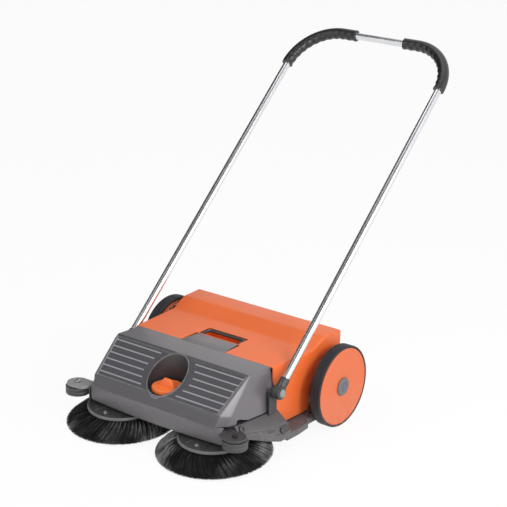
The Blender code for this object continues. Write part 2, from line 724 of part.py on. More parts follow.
def wing_top(x, y):
    """Height of the wing's upper face between its inner edge and its fold."""
    for (y0, inner0, fold0, _), (y1, inner1, fold1, _) in zip(WING, WING[1:]):
        if y0 <= y <= y1:
            share = (y - y0) / (y1 - y0)
            ends = [[a + share * (b - a) for a, b in zip(*pair)]
                    for pair in ((inner0, inner1), (fold0, fold1))]
            (x0, z0), (x1, z1) = ends
            slope = (z1 - z0) / (x1 - x0)
            return DECK_Z + z0 + slope * (x - DECK_HALF - x0) + WING_T * math.hypot(1, slope)
    return DECK_Z + WING_T


def chassis_sides():
    flange_low = DECK_Z - 0.0035
    rows = []
    for y, inner, fold, outer in WING:
        row = [(DECK_HALF + x, y, DECK_Z + z) for x, z in (inner, fold, outer)]
        rows.append([(row[0][0] - 0.002, y, flange_low)] + row)
    wing = sheet("chassis_side_right", rows, WING_T, "dark plastic")
    round_edges(wing, 0.003, 2, 20)
    thicken(wing)
    wide = DECK_HALF + WING[-1][3][0] - 0.0025
    ahead = -WHEEL_R - 0.012
    outline = [(RAIL_IN, RAIL_FRONT), (wide, RAIL_FRONT - 0.015), (wide + 0.001, ahead - 0.048),
               (wide - 0.0035, ahead), (RAIL_OUT, ahead + 0.011), (RAIL_OUT, RAIL_REAR), (RAIL_IN, RAIL_REAR)]
    rail = plate("side rail", outline, (RAIL_LOW, RAIL_LOW + RAIL_T))
    round_edges(rail, 0.002, 1)
    fuse(wing, rail)
    both_sides(wing)


def axle_brackets():
    foot = RAIL_LOW + RAIL_T + GAP
    top = AXLE_R + 0.016
    outline = [(PINION_Y - 0.030, foot), (top + 0.006, foot)] + circle(0, AXLE_Z, top, 8, 0, math.pi) + [
        (-top - 0.006, AXLE_Z - 0.010)] + circle(PINION_Y, PINION_Z, 0.016, 5, math.radians(70),
                                                 math.radians(140))
    bracket = plate("axle_bracket_right", outline, (BRACKET_X, BRACKET_X + BRACKET_T), "X", "zinc steel")
    axle = rod("wheel axle", AXLE_R, (BRACKET_X + 0.001, TYRE_IN + TYRE_W - 0.002), "X", (0, 0, AXLE_Z), 20)
    fuse(bracket, axle)
    cut(bracket, rod("pinion bearing", SHAFT_R + GAP, (BRACKET_X - 0.01, BRACKET_X + BRACKET_T + 0.01), "X",
                     (0, PINION_Y, PINION_Z), 16))
    both_sides(bracket)


def crossbar_and_ramp():
    top = TUB_LOW - GAP
    block("rear_crossbar", (-RAIL_IN + GAP, RAIL_IN - GAP), (RAIL_REAR - 0.035, RAIL_REAR - 0.005),
          (RAIL_LOW + 0.004, top), "dark plastic")
    foot = 0.006
    high = TUB_LIP - 0.002
    back = TUB_FRONT - 0.002
    slope = [(back, high), (back - 0.003, high), (back - 0.024, foot), (back - 0.021, foot)]
    plate("dirt_ramp", slope, (0.0025 - RAIL_IN, RAIL_IN - 0.0025), "X", "black rubber")


# Front cover, knob and caster
def face_z(y):
    """Height of the ribbed face at y."""
    low_y, low_z = COVER_FACE_LOW
    share = (y - COVER_TOP_FRONT) / (low_y - COVER_TOP_FRONT)
    return COVER_TOP_Z + share * (low_z - COVER_TOP_Z)


def front_cover():
    low_y, low_z = COVER_FACE_LOW
    half, edge, foot = COVER_HALF, DECK_HALF, COVER_FOOT_Z
    out = DECK_HALF + WING[1][1][0]
    rows = [
        [(0, COVER_REAR, HOP_TOP_FRONT), (half, COVER_REAR, HOP_TOP_FRONT),
         (edge, COVER_REAR + 0.008, HOP_TOP_FRONT - 0.063), (out, COVER_REAR + 0.017, foot - 0.0135)],
        [(0, COVER_TOP_FRONT, COVER_TOP_Z), (half, COVER_TOP_FRONT, COVER_TOP_Z),
         (edge + 0.0005, COVER_TOP_FRONT - 0.008, COVER_TOP_Z - 0.058),
         (out, COVER_TOP_FRONT - 0.016, foot + 0.0025)],
        [(0, low_y, low_z), (half - 0.015, low_y, low_z), (half + 0.005, low_y + 0.027, low_z - 0.005),
         (out, low_y + 0.047, foot + 0.011)],
        [(0, low_y - 0.0135, foot), (half - 0.023, low_y - 0.008, foot), (half + 0.001, low_y + 0.013, foot),
         (out - 0.0015, low_y + 0.041, foot + 0.0005)],
    ]
    cover = sheet("front_cover", rows, COVER_T, "dark plastic")
    mirror(cover)
    round_edges(cover, 0.004, 1, 20)
    thicken(cover)
    wide, narrow = POCKET_HALF + 0.007, POCKET_HALF - 0.001
    tab = plate("cover tab", [(-wide, COVER_REAR - 0.006), (wide, COVER_REAR - 0.006), (narrow, TAB_REAR),
                              (-narrow, TAB_REAR)], (HOP_TOP_FRONT - 0.0026, HOP_TOP_FRONT - 0.0004))
    fuse(cover, tab)
    fuse(cover, *ribs())
    opening = rod("well opening", WELL_R + 0.001, (WELL_FLOOR - 0.004, COVER_TOP_Z + 0.06), "Z",
                  (0, BROOM_Y, 0), 32)
    cut(cover, opening)
    fuse(cover, well())


def ribs():
    """Thin raised ribs on both sides of the well, along the sloping face."""
    low_y, low_z = COVER_FACE_LOW
    slope = math.atan2(COVER_TOP_Z - low_z, COVER_TOP_FRONT - low_y)
    made = []
    for k in range(RIBS):
        y = COVER_TOP_FRONT - RIB_START - k * RIB_PITCH
        inner = WELL_R + 0.010 + 0.018 * math.sin(math.pi * min(1.0, (k + 0.6) / 5))
        outer = COVER_HALF - 0.008 - 0.0022 * k
        for side in (1, -1):
            rib = block("rib", (inner, outer), (-0.0016, 0.0016), (-0.0015, 0.0012))
            rib.location.x *= side
            rib.location.y += y
            rib.location.z += face_z(y)
            rib.rotation_euler = (slope, 0, 0)
            made.append(rib)
    return made


def well():
    """The round well: a cup whose rim is cut to the slope of the face."""
    high = COVER_TOP_Z + 0.06
    cup = rod("well cup", WELL_R + COVER_T, (WELL_FLOOR - COVER_T, high), "Z", (0, BROOM_Y, 0), 32)
    low_y, low_z = COVER_FACE_LOW
    inside = 0.0004
    back, front = COVER_TOP_FRONT + 0.029, low_y - 0.009
    under = plate("space under the face",
                  [(back, DECK_Z), (back, HOP_TOP_FRONT), (COVER_TOP_FRONT, COVER_TOP_Z - inside),
                   (low_y, low_z - inside), (front, COVER_FOOT_Z), (front, DECK_Z)],
                  (-2 * WELL_R, 2 * WELL_R), "X")
    boolean(cup, [under], "INTERSECT")
    cut(cup, rod("well space", WELL_R, (WELL_FLOOR, high + 0.01), "Z", (0, BROOM_Y, 0), 32))
    cut(cup, rod("well bore", SPINDLE_R + RUN, (WELL_FLOOR - 0.01, WELL_FLOOR + 0.01), "Z",
                 (0, BROOM_Y, 0), 20))
    return cup


def knob_and_caster():
    low = WELL_FLOOR + RUN
    dial = [(0, KNOB_H), (KNOB_R - 0.008, KNOB_H), (KNOB_R - 0.002, KNOB_H - 0.002),
            (KNOB_R, KNOB_H - 0.005), (KNOB_R, 0), (0, 0)]
    knob = turned("height_knob", dial, 28, "orange plastic", ROOT, (0, BROOM_Y, low))
    reach = KNOB_R - 0.011
    high = low + KNOB_GRIP_H
    ridge = loft("knob ridge", [
        [(-reach, BROOM_Y - 0.005, low + 0.004), (reach, BROOM_Y - 0.009, low + 0.004),
         (reach, BROOM_Y + 0.009, low + 0.004), (-reach, BROOM_Y + 0.005, low + 0.004)],
        [(0.006 - reach, BROOM_Y - 0.004, high), (reach - 0.008, BROOM_Y - 0.006, high),
         (reach - 0.008, BROOM_Y + 0.006, high), (0.006 - reach, BROOM_Y + 0.004, high)]])
    round_edges(ridge, 0.003, 2)
    fuse(knob, ridge)
    deep = CARRIAGE_Z
    rod("adjuster_spindle", SPINDLE_R, (deep - 0.012, low - GAP), "Z", (0, BROOM_Y, 0), 16, "zinc steel")

    arm = block("caster_carriage", (-CARRIAGE_HALF, CARRIAGE_HALF),
                (BROOM_Y - CARRIAGE_HALF, CASTER_Y + 0.014), (deep, deep + CARRIAGE_T), "grey plastic")
    nut = rod("spindle nut", CARRIAGE_HALF, (deep - 0.008, deep + CARRIAGE_T), "Z", (0, BROOM_Y, 0), 14)
    fuse(arm, nut)
    cheek = CASTER_W / 2 + 0.001
    for side in (1, -1):
        x = sorted((side * cheek, side * (cheek + 0.004)))
        leg = block("fork leg", x, (CASTER_Y - 0.010, CASTER_Y + 0.010), (CASTER_R - 0.009, deep + 0.005))
        fuse(arm, leg)
    fuse(arm, block("fork bridge", (-cheek - 0.003, cheek + 0.003), (CASTER_Y - 0.010, CASTER_Y + 0.010),
                    (deep - 0.006, deep + CARRIAGE_T - 0.0005)))
    cut(arm, rod("nut bore", SPINDLE_R + GAP, (deep - 0.02, deep + 0.03), "Z", (0, BROOM_Y, 0), 16))
    cut(arm, rod("fork bore", CASTER_AXLE_R + GAP, (-CASTER_W, CASTER_W), "X", (0, CASTER_Y, CASTER_R), 12))
    rod("caster_axle", CASTER_AXLE_R, (-cheek - 0.006, cheek + 0.006), "X", (0, CASTER_Y, CASTER_R), 12,
        "zinc steel")
    edge = 0.003
    bore = CASTER_AXLE_R + 2 * GAP
    half = CASTER_W / 2
    body = [(CASTER_R - edge, half), (CASTER_R, half - edge), (CASTER_R, edge - half),
            (CASTER_R - edge, -half), (bore, -half), (bore, half)]
    turned("caster_roller", body, 20, "black rubber", ROOT, (0, CASTER_Y, CASTER_R), "X")


# Hopper
def hopper_half(y):
    """Half width of the hopper at y."""
    share = (y - HOP_FRONT_TOP) / (HOP_REAR - HOP_FRONT_TOP)
    return HOP_FRONT_HALF + share * (HOP_HALF - HOP_FRONT_HALF)


def hopper_block(inset, low_extra, front_extra):
    """The hopper's outer form, drawn in by inset; the extras open it below and in front."""
    top = -inset
    low = HOP_LOW - low_extra
    outline = [(HOP_FRONT_LOW - front_extra, low), (HOP_REAR - inset, low),
               (HOP_REAR - inset, HOP_TOP_REAR + top), (-0.006, HOP_TOP_REAR + top),
               (-0.057, HOP_TOP_FRONT + top), (HOP_FRONT_TOP - front_extra, HOP_TOP_FRONT + top)]
    form = plate("hopper form", outline, (-HOP_HALF, HOP_HALF), "X")
    for vert in form.data.vertices:          # the mesh stands on edge: its x is y, and its z is x
        vert.co.z = math.copysign(hopper_half(vert.co.x) - inset, vert.co.z)
    if not inset:
        round_edges(form, HOP_ROUND, 3, 40)
    for side in (1, -1):
        x = sorted((side * (HOP_INNER_HALF - inset), side * 0.4))
        cut(form, block("wheel recess", x, (HOP_STEP_Y - inset, 0.3), (-0.1, HOP_BAND_LOW + inset)))
    return form


def hopper():
    shell = hopper_block(0, 0.02, 0.02)
    shell.name = "hopper_shell"
    make_piece(shell, "orange plastic")
    cut(shell, block("below the hopper", (-0.4, 0.4), (-0.4, 0.4), (-0.1, HOP_LOW)))
    ahead = [(-0.4, 0.0), (HOP_FRONT_LOW, 0.0), (HOP_FRONT_LOW, HOP_LOW),
             (HOP_FRONT_TOP, HOP_TOP_FRONT - 0.03), (HOP_FRONT_TOP, 0.3), (-0.4, 0.3)]
    cut(shell, plate("ahead of the hopper", ahead, (-0.4, 0.4), "X"))
    cut(shell, hopper_block(HOP_T, 0.05, 0.05))
    for side in (1, -1):
        slot = sorted((side * (BELT_X - 0.010), side * (BELT_X + 0.009)))
        cut(shell, block("belt slot", slot, (HOP_STEP_Y - HOP_T - 0.005, HOP_STEP_Y + 0.005),
                         (HOP_LOW - 0.02, PINION_Z + 0.026)))
    notch = POCKET_HALF + 0.0085
    cut(shell, block("tab notch", (-notch, notch), (-0.30, TAB_REAR + 0.001), (0.20, 0.30)))
    floor = HOP_TOP_FRONT - POCKET_DEPTH
    t = POCKET_T
    fuse(shell, block("pocket box", (-POCKET_HALF - t, POCKET_HALF + t), (POCKET_FRONT - t, POCKET_REAR + t),
                      (floor - t, HOP_TOP_FRONT - 0.0005)))
    cut(shell, block("pocket space", (-POCKET_HALF, POCKET_HALF), (POCKET_FRONT, POCKET_REAR),
                     (floor, 0.30)))
    cut(shell, rod("bail holes", BAIL_PIN_R + GAP, (-0.09, 0.09), "X", (0, BAIL_PIVOT_Y, BAIL_Z), 12))

    side = HOP_INNER_HALF - HOP_T - GAP
    back = HOP_REAR - HOP_T - GAP
    tub = block("hopper_tub", (-side, side), (TUB_FRONT, back), (TUB_LOW, TUB_HIGH), "dark plastic")
    cut(tub, block("tub space", (-side + TUB_T, side - TUB_T), (TUB_FRONT + TUB_T, back - TUB_T),
                   (TUB_LOW + TUB_T, 0.3)))
    cut(tub, block("tub mouth", (-side + 0.012, side - 0.012), (TUB_FRONT - 0.01, TUB_FRONT + 0.01),
                   (TUB_LIP, 0.3)))
    cut(tub, block("tub pocket room", (-POCKET_HALF - 0.005, POCKET_HALF + 0.005), (TUB_FRONT - 0.01, -0.10),
                   (floor - t - 0.002, 0.3)))

    reach = POCKET_REAR - BAIL_R - 0.0022
    arm = POCKET_HALF - BAIL_R - 0.0012
    pin = POCKET_HALF + t - 0.0004
    bail = wire("hopper_bail", rounded_path([(-arm, BAIL_PIVOT_Y - 0.004, BAIL_Z), (-arm, reach, BAIL_Z),
                                             (arm, reach, BAIL_Z), (arm, BAIL_PIVOT_Y - 0.004, BAIL_Z)],
                                            0.009, 3), BAIL_R, 8, False, "dark plastic")
    fuse(bail, rod("bail pin right", BAIL_PIN_R, (arm - 0.002, pin), "X", (0, BAIL_PIVOT_Y, BAIL_Z), 12),
         rod("bail pin left", BAIL_PIN_R, (-pin, -arm + 0.002), "X", (0, BAIL_PIVOT_Y, BAIL_Z), 12))


# Handle
def handle():
    corners = [(HANDLE_HALF, 0, TUBE_START), (HANDLE_HALF, 0, HANDLE_L), (-HANDLE_HALF, 0, HANDLE_L),
               (-HANDLE_HALF, 0, TUBE_START)]
    tube = wire("handle_tube", rounded_path(corners, HANDLE_BEND, 7), TUBE_R, 12, False, "chrome steel",
                HANDLE)
    inner = [(x, y, TUBE_START - 0.01) if z == TUBE_START else (x, y, z) for x, y, z in corners]
    cut(tube, wire("tube bore", rounded_path(inner, HANDLE_BEND, 7), TUBE_R - TUBE_T, 8, False, None,
                   HANDLE))

    path = rounded_path([(HANDLE_HALF, 0, GRIP_START), (HANDLE_HALF, 0, HANDLE_L),
                         (GRIP_END, 0, HANDLE_L)], HANDLE_BEND, 7)
    grip = wire("grip_right", path, GRIP_R, 12, False, "grip foam", HANDLE)
    bore = rounded_path([(HANDLE_HALF, 0, GRIP_START - 0.01), (HANDLE_HALF, 0, HANDLE_L),
                         (GRIP_END - 0.01, 0, HANDLE_L)], HANDLE_BEND, 7)
    cut(grip, wire("grip bore", bore, TUBE_R + 0.0012, 10, False, None, HANDLE))
    both_sides(grip)

    x = HANDLE_HALF
    half = KNUCKLE_W / 2
    socket = rod("handle_socket_right", KNUCKLE_R, (x - half, x + half), "X", (0, 0, 0), 20, "dark plastic",
                 HANDLE)
    fuse(socket, rod("socket sleeve", SOCKET_R, (KNUCKLE_R - 0.0025, SOCKET_END), "Z", (x, 0, 0), 16, None,
                     HANDLE))
    cut(socket, rod("socket bore", TUBE_R + GAP, (TUBE_START - GAP, SOCKET_END + 0.02), "Z", (x, 0, 0), 16,
                    None, HANDLE))
    cut(socket, rod("pivot bore", PIVOT_BOLT_R + GAP, (x - 0.04, x + 0.04), "X", (0, 0, 0), 16, None,
                    HANDLE))
    both_sides(socket)

    near = x - half - GAP
    t = PIVOT_BRACKET_T
    ends = (PIVOT_Y - 0.020, PIVOT_Y + 0.013)
    foot = max(wing_top(near - t, y) for y in ends) + GAP
    ear = [(y, foot) for y in ends] + circle(PIVOT_Y, PIVOT_Z, 0.015, 8, 0, math.pi) + [
        (PIVOT_Y - 0.017, PIVOT_Z)]
    bracket = plate("pivot_bracket_right", ear, (near - t, near), "X", "dark plastic")
    cut(bracket, rod("bracket bore", PIVOT_BOLT_R + GAP, (near - t - 0.01, near + 0.01), "X",
                     (0, PIVOT_Y, PIVOT_Z), 16))
    both_sides(bracket)
    end = x + half + GAP
    inner_end = near - t - GAP
    bolt = [(0, end + 0.005), (0.0105, end + 0.005), (0.012, end + 0.0035), (0.012, end),
            (PIVOT_BOLT_R, end), (PIVOT_BOLT_R, inner_end), (0.008, inner_end), (0.008, inner_end - 0.0035),
            (0, inner_end - 0.0035)]
    both_sides(turned("pivot_bolt_right", bolt, 14, "grey plastic", ROOT, (0, PIVOT_Y, PIVOT_Z), "X"))


# Left copies and smooth shading
def settle(obj):
    """Keep the finished mesh, without its modifiers, shaded smooth over round stretches."""
    graph = bpy.context.evaluated_depsgraph_get()
    mesh = bpy.data.meshes.new_from_object(obj.evaluated_get(graph))
    mesh.name = obj.name
    return mesh


def left_copies():
    for obj, group in RIGHT_PIECES:
        name = obj.name.replace("_right", "_left")
        mesh = obj.data.copy()
        turn = obj.rotation_euler.to_matrix().to_4x4()
        mesh.transform(turn)
        mesh.transform(Matrix.Scale(-1, 4, (1, 0, 0)))
        mesh.flip_normals()
        mesh.name = name
        parent = BROOM["left"] if group == "broom" else obj.parent
        x, y, z = obj.location
        copy = bpy.data.objects.new(name, mesh)
        copy.parent = parent
        copy.location = (-x, y, z)
        PARTS.objects.link(copy)


def settle_all():
    bpy.context.view_layer.update()
    pieces = [obj for obj in PARTS.objects if obj.type == "MESH"]
    finished = [(obj, settle(obj)) for obj in pieces]
    for obj, mesh in finished:
        obj.modifiers.clear()
        obj.data = mesh
        mesh.shade_smooth()
        mesh.set_sharp_from_angle(angle=math.radians(32))


def build():
    wheels()
    drive()
    brooms()
    deck()
    rollers()
    chassis_sides()
    axle_brackets()
    crossbar_and_ramp()
    front_cover()
    knob_and_caster()
    hopper()
    handle()
    settle_all()
    left_copies()
    bpy.context.view_layer.update()


build()
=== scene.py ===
import json
import math
import random

import bmesh
import bpy
from mathutils import Matrix, Vector

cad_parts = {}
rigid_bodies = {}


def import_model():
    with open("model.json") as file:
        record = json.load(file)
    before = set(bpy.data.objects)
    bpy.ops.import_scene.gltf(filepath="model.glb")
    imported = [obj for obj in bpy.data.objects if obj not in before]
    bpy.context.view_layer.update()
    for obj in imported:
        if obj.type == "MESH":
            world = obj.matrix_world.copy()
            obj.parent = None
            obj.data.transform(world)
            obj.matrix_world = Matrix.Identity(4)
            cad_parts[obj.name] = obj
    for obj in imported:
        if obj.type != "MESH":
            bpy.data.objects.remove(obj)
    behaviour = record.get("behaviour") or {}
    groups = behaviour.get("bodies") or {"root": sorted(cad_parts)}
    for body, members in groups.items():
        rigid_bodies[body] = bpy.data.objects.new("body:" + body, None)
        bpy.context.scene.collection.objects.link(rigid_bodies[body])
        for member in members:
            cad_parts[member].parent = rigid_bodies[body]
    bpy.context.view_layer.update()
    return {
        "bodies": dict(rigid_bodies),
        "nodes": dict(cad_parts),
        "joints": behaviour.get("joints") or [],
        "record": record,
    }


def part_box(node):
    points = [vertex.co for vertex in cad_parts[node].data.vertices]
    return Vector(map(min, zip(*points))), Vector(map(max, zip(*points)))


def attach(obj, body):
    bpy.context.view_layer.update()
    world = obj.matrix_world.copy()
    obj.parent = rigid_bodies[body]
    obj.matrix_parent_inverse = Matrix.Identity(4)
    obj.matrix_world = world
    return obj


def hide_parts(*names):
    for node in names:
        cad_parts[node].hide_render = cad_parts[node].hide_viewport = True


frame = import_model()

bodies = frame["record"]["behaviour"]["bodies"]
joints = {joint["name"]: joint for joint in frame["joints"]}


def jointPlace(name):
    return Vector(joints[name]["pos_m"])


def leaningAt(place, degrees):
    return Matrix.Translation(place) @ Matrix.Rotation(math.radians(degrees), 4, "X")


# pieces are shaped with y = 0 at the wheel axle, and stood where the model has it when they are handed in
handleLean, broomLean = -47, 4       # degrees
axleShift = Vector((0, jointPlace("wheel_right_spin").y, 0))
handlePivot = jointPlace("handle_fold")
atAxle = Matrix.Translation(axleShift)
atHandle = leaningAt((0, handlePivot.y, handlePivot.z), handleLean)
atBroom = leaningAt(jointPlace("broom_right_spin"), broomLean)


def boxOf(node):
    low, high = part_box(node)
    return low - axleShift, high - axleShift


def clearHands():
    if bpy.context.object and bpy.context.object.mode != "OBJECT":
        bpy.ops.object.mode_set(mode="OBJECT")
    bpy.ops.object.select_all(action="DESELECT")


def facing(place, aim, front="-Z"):
    return (Vector(aim) - Vector(place)).to_track_quat(front, "Y")


# the camera comes first; the whole sweeper stands in its view
cameraDial = {
    "place": (2.5929, -3.4779, 1.9254),
    "aim": (0.1008, -0.1411, 0.5059),
    "roll": 1.377,           # degrees, to the right
    "lens": 112.6,
    "sensor": 36,
    "farthest": 50,
}


def setCamera(dial):
    place, aim = Vector(dial["place"]) + axleShift, Vector(dial["aim"]) + axleShift
    bpy.ops.object.camera_add(location=place)
    camera = bpy.context.object
    camera.name = "studioCamera"
    camera.data.lens = dial["lens"]
    camera.data.sensor_width = dial["sensor"]
    camera.data.clip_end = dial["farthest"]
    roll = Matrix.Rotation(math.radians(dial["roll"]), 3, "Z")
    camera.rotation_euler = (facing(place, aim).to_matrix() @ roll).to_euler()
    bpy.context.scene.camera = camera


setCamera(cameraDial)
print("camera stands")


# shader nodes, for the studio and for every finish
def give(tree, socket, value):
    # another node's output is linked, anything else is set
    if hasattr(value, "links"):
        tree.links.new(value, socket)
    else:
        socket.default_value = value


def addNode(tree, kind, inputs=None, **settings):
    node = tree.nodes.new("ShaderNode" + kind)
    for label, value in settings.items():
        setattr(node, label, value)
    for label, value in (inputs or {}).items():
        give(tree, node.inputs[label], value)
    return node


def ramp(tree, source, low, high, toLow, toHigh):
    return addNode(tree, "MapRange", {"Value": source, "From Min": low, "From Max": high,
                                      "To Min": toLow, "To Max": toHigh}).outputs[0]


def noise(tree, place, scale, detail, rough):
    return addNode(tree, "TexNoise", {"Vector": place, "Scale": scale, "Detail": detail,
                                      "Roughness": rough}).outputs["Fac"]


def mixColour(tree, factor, one, two):
    return addNode(tree, "Mix", {"Factor": factor, "A": one, "B": two}, data_type="RGBA").outputs["Result"]


def calculate(tree, kind, one, two):
    return addNode(tree, "Math", {0: one, 1: two}, operation=kind).outputs[0]


def shaded(tree, colour, share):
    return addNode(tree, "VectorMath", {0: colour, "Scale": share}, operation="SCALE").outputs[0]


def newMaterial(name):
    made = bpy.data.materials.new(name)
    made.use_nodes = True
    return made, made.node_tree, made.node_tree.nodes["Principled BSDF"]


def seenRays(tree):
    # one where the camera, metal or glass looks at this surface, nought for the light it sheds
    path = addNode(tree, "LightPath").outputs
    looks = calculate(tree, "MAXIMUM", path["Is Camera Ray"], path["Is Glossy Ray"])
    return calculate(tree, "MAXIMUM", looks, path["Is Transmission Ray"])


# soft studio: white sky, pale floor, five big lamps, and three dark cards that only metal mirrors
studioDial = {
    "skyFill": 0.58,         # the light that the sky sheds
    "floorSize": 40,
    "floorColour": (0.93, 0.93, 0.93, 1),
    "floorRough": 0.9,
    "floorGloss": 0.1,
    "floorGlow": 0.91,       # share of plain white in the floor that is seen
    "lampAim": (0, -0.1, 0.2),
    "cardAim": (0, 0, 0.5),
    # place, power and width
    "lamps": {
        "keyLamp": ((-1.6, -2.6, 3.2), 21, 1.6),
        "sideLamp": ((2.75, -0.6, 1.8), 43, 1.4),
        "fillLamp": ((2.25, -2.35, 1.3), 11, 1.0),
        "rimLamp": ((3.0, 0.9, 0.9), 6, 0.9),
        "topLamp": ((0.1, 0.2, 3.4), 10, 2.2),
    },
    # place, width, height and tone
    "cards": {
        "leftCard": ((-2.05, -0.2, 2.2), 4.0, 2.9, 0.05),
        "lowCard": ((-2.9, 0.8, 0.75), 3.2, 1.5, 0.05),
        "frontCard": ((0.62, -1, 3.1), 3.4, 1.9, 0.18),
    },
}


def whiteSky(dial):
    world = bpy.data.worlds.new("whiteSky")
    bpy.context.scene.world = world
    world.use_nodes = True
    tree = world.node_tree
    back = tree.nodes["Background"].inputs
    back["Color"].default_value = (1, 1, 1, 1)
    give(tree, back["Strength"], ramp(tree, seenRays(tree), 0, 1, dial["skyFill"], 1))


def paintedSheet(name, size, place, colour):
    clearHands()
    bpy.ops.mesh.primitive_plane_add(size=size, location=place)
    sheet = bpy.context.object
    sheet.name = name
    paint, tree, shader = newMaterial(name)
    shader.inputs["Base Color"].default_value = colour
    sheet.data.materials.append(paint)
    return sheet, tree, shader


def paleFloor(dial):
    floor, tree, shader = paintedSheet("paleFloor", dial["floorSize"], (0, 0, 0), dial["floorColour"])
    shader.inputs["Roughness"].default_value = dial["floorRough"]
    shader.inputs["Specular IOR Level"].default_value = dial["floorGloss"]
    glow = addNode(tree, "Emission")
    share = calculate(tree, "MULTIPLY", seenRays(tree), dial["floorGlow"])
    mix = addNode(tree, "MixShader", {0: share, 1: shader.outputs[0], 2: glow.outputs[0]})
    give(tree, tree.nodes["Material Output"].inputs["Surface"], mix.outputs[0])


def areaLamp(name, place, power, width, aim):
    bpy.ops.object.light_add(type="AREA", location=place)
    lamp = bpy.context.object
    lamp.name = name
    lamp.data.energy = power
    lamp.data.shape = "DISK"
    lamp.data.size = width
    lamp.rotation_euler = facing(place, aim).to_euler()


def darkCard(name, place, width, height, tone, aim):
    # stands outside the view, so that bright tubes get a dark edge
    card, _, _ = paintedSheet(name, 1, place, (tone, tone, tone, 1))
    card.scale = (width, height, 1)
    card.rotation_euler = facing(place, aim, "Z").to_euler()
    card.visible_camera = card.visible_diffuse = card.visible_shadow = False


whiteSky(studioDial)
paleFloor(studioDial)
for name, values in studioDial["lamps"].items():
    areaLamp(name, *values, studioDial["lampAim"])
for name, values in studioDial["cards"].items():
    darkCard(name, *values, studioDial["cardAim"])
bpy.context.scene.view_settings.view_transform = "Standard"
print("studio is lit")


# shader groups, built once and used by every finish
def newSkin(name, values):
    # takes the named values and gives a colour, a roughness and a normal
    tree = bpy.data.node_groups.new(name, "ShaderNodeTree")
    for label, value in values.items():
        kind = "NodeSocketFloat" if isinstance(value, float) else "NodeSocketColor"
        tree.interface.new_socket(label, in_out="INPUT", socket_type=kind).default_value = value
    for label, kind in (("Colour", "Color"), ("Roughness", "Float"), ("Normal", "Vector")):
        tree.interface.new_socket(label, in_out="OUTPUT", socket_type="NodeSocket" + kind)
    return tree, tree.nodes.new("NodeGroupInput").outputs, tree.nodes.new("NodeGroupOutput").inputs


def skinDone(tree, made, colour, rough, depth, strength, height):
    bump = addNode(tree, "Bump", {"Distance": depth, "Strength": strength, "Height": height})
    for label, value in (("Colour", colour), ("Roughness", rough), ("Normal", bump.outputs[0])):
        give(tree, made[label], value)
    return tree


def buildMouldedSkin():
    # moulded plastic or rubber: fine grain, slow change of tone, dust low down, and pale edges that are partly wear
    # and partly a painted highlight
    tree, given, made = newSkin("mouldedSkin", {
        "Colour": (0.5, 0.5, 0.5, 1), "Worn And Highlit Edge": (0.7, 0.7, 0.7, 1), "Grain Scale": 900.0, "Grain Depth": 0.1,
        "Gloss": 0.45, "Edge Wear And Highlight": 0.3, "Dust": 0.1})
    dustColour, dustHeight = (0.45, 0.41, 0.36, 1), 0.14
    place = addNode(tree, "TexCoord").outputs["Object"]
    grain = noise(tree, place, given["Grain Scale"], 2.0, 0.6)
    cloudy = noise(tree, place, 6.0, 3.0, 0.6)
    streaky = noise(tree, place, 70.0, 4.0, 0.7)
    rounded = addNode(tree, "Bevel", {"Radius": 0.0016}, samples=4)
    turn = addNode(tree, "VectorMath", {0: rounded.outputs[0], 1: addNode(tree, "NewGeometry").outputs["Normal"]},
                   operation="DOT_PRODUCT")
    sharp = ramp(tree, turn.outputs["Value"], 0.99, 0.86, 0, 1)
    # pale edges: partly wear, partly a painted highlight along rounded edges
    wornAndHighlit = calculate(tree, "MULTIPLY", sharp, ramp(tree, streaky, 0.35, 0.62, 0.25, 1))
    wornAndHighlit = calculate(tree, "MULTIPLY", wornAndHighlit, given["Edge Wear And Highlight"])
    shade = shaded(tree, given["Colour"], ramp(tree, cloudy, 0.3, 0.7, 0.965, 1.03))
    height = addNode(tree, "SeparateXYZ", {0: place}).outputs["Z"]
    dusty = calculate(tree, "MULTIPLY", ramp(tree, height, 0, dustHeight, 1, 0), given["Dust"])
    dusty = calculate(tree, "MULTIPLY", dusty, ramp(tree, streaky, 0.35, 0.7, 0, 1))
    colour = mixColour(tree, dusty, mixColour(tree, wornAndHighlit, shade, given["Worn And Highlit Edge"]), dustColour)
    rough = calculate(tree, "ADD", given["Gloss"], ramp(tree, cloudy, 0.3, 0.7, -0.04, 0.05))
    rough = calculate(tree, "ADD", rough, calculate(tree, "MULTIPLY", dusty, 0.3))
    return skinDone(tree, made, colour, rough, 0.0004, given["Grain Depth"], grain)


def buildMetalSkin():
    # drawn or plated metal: hairline marks and a slow change of gloss
    tree, given, made = newSkin("metalSkin", {"Colour": (0.8, 0.8, 0.82, 1), "Gloss": 0.15, "Marks": 0.05})
    place = addNode(tree, "TexCoord").outputs["Object"]
    hair = noise(tree, place, 300.0, 3.0, 0.6)
    cloudy = noise(tree, place, 18.0, 3.0, 0.6)
    colour = shaded(tree, given["Colour"], ramp(tree, cloudy, 0.3, 0.7, 0.94, 1.03))
    rough = calculate(tree, "ADD", given["Gloss"], ramp(tree, hair, 0.3, 0.7, -0.03, 0.07))
    return skinDone(tree, made, colour, rough, 0.0003, given["Marks"], hair)


mouldedSkin = buildMouldedSkin()
metalSkin = buildMetalSkin()


def linear(red, green, blue):
    # from a colour as a screen shows it, 0 to 255, to the shader's own scale
    values = [part / 255 for part in (red, green, blue)]
    return tuple(v / 12.92 if v <= 0.04045 else ((v + 0.055) / 1.055) ** 2.4 for v in values) + (1.0,)


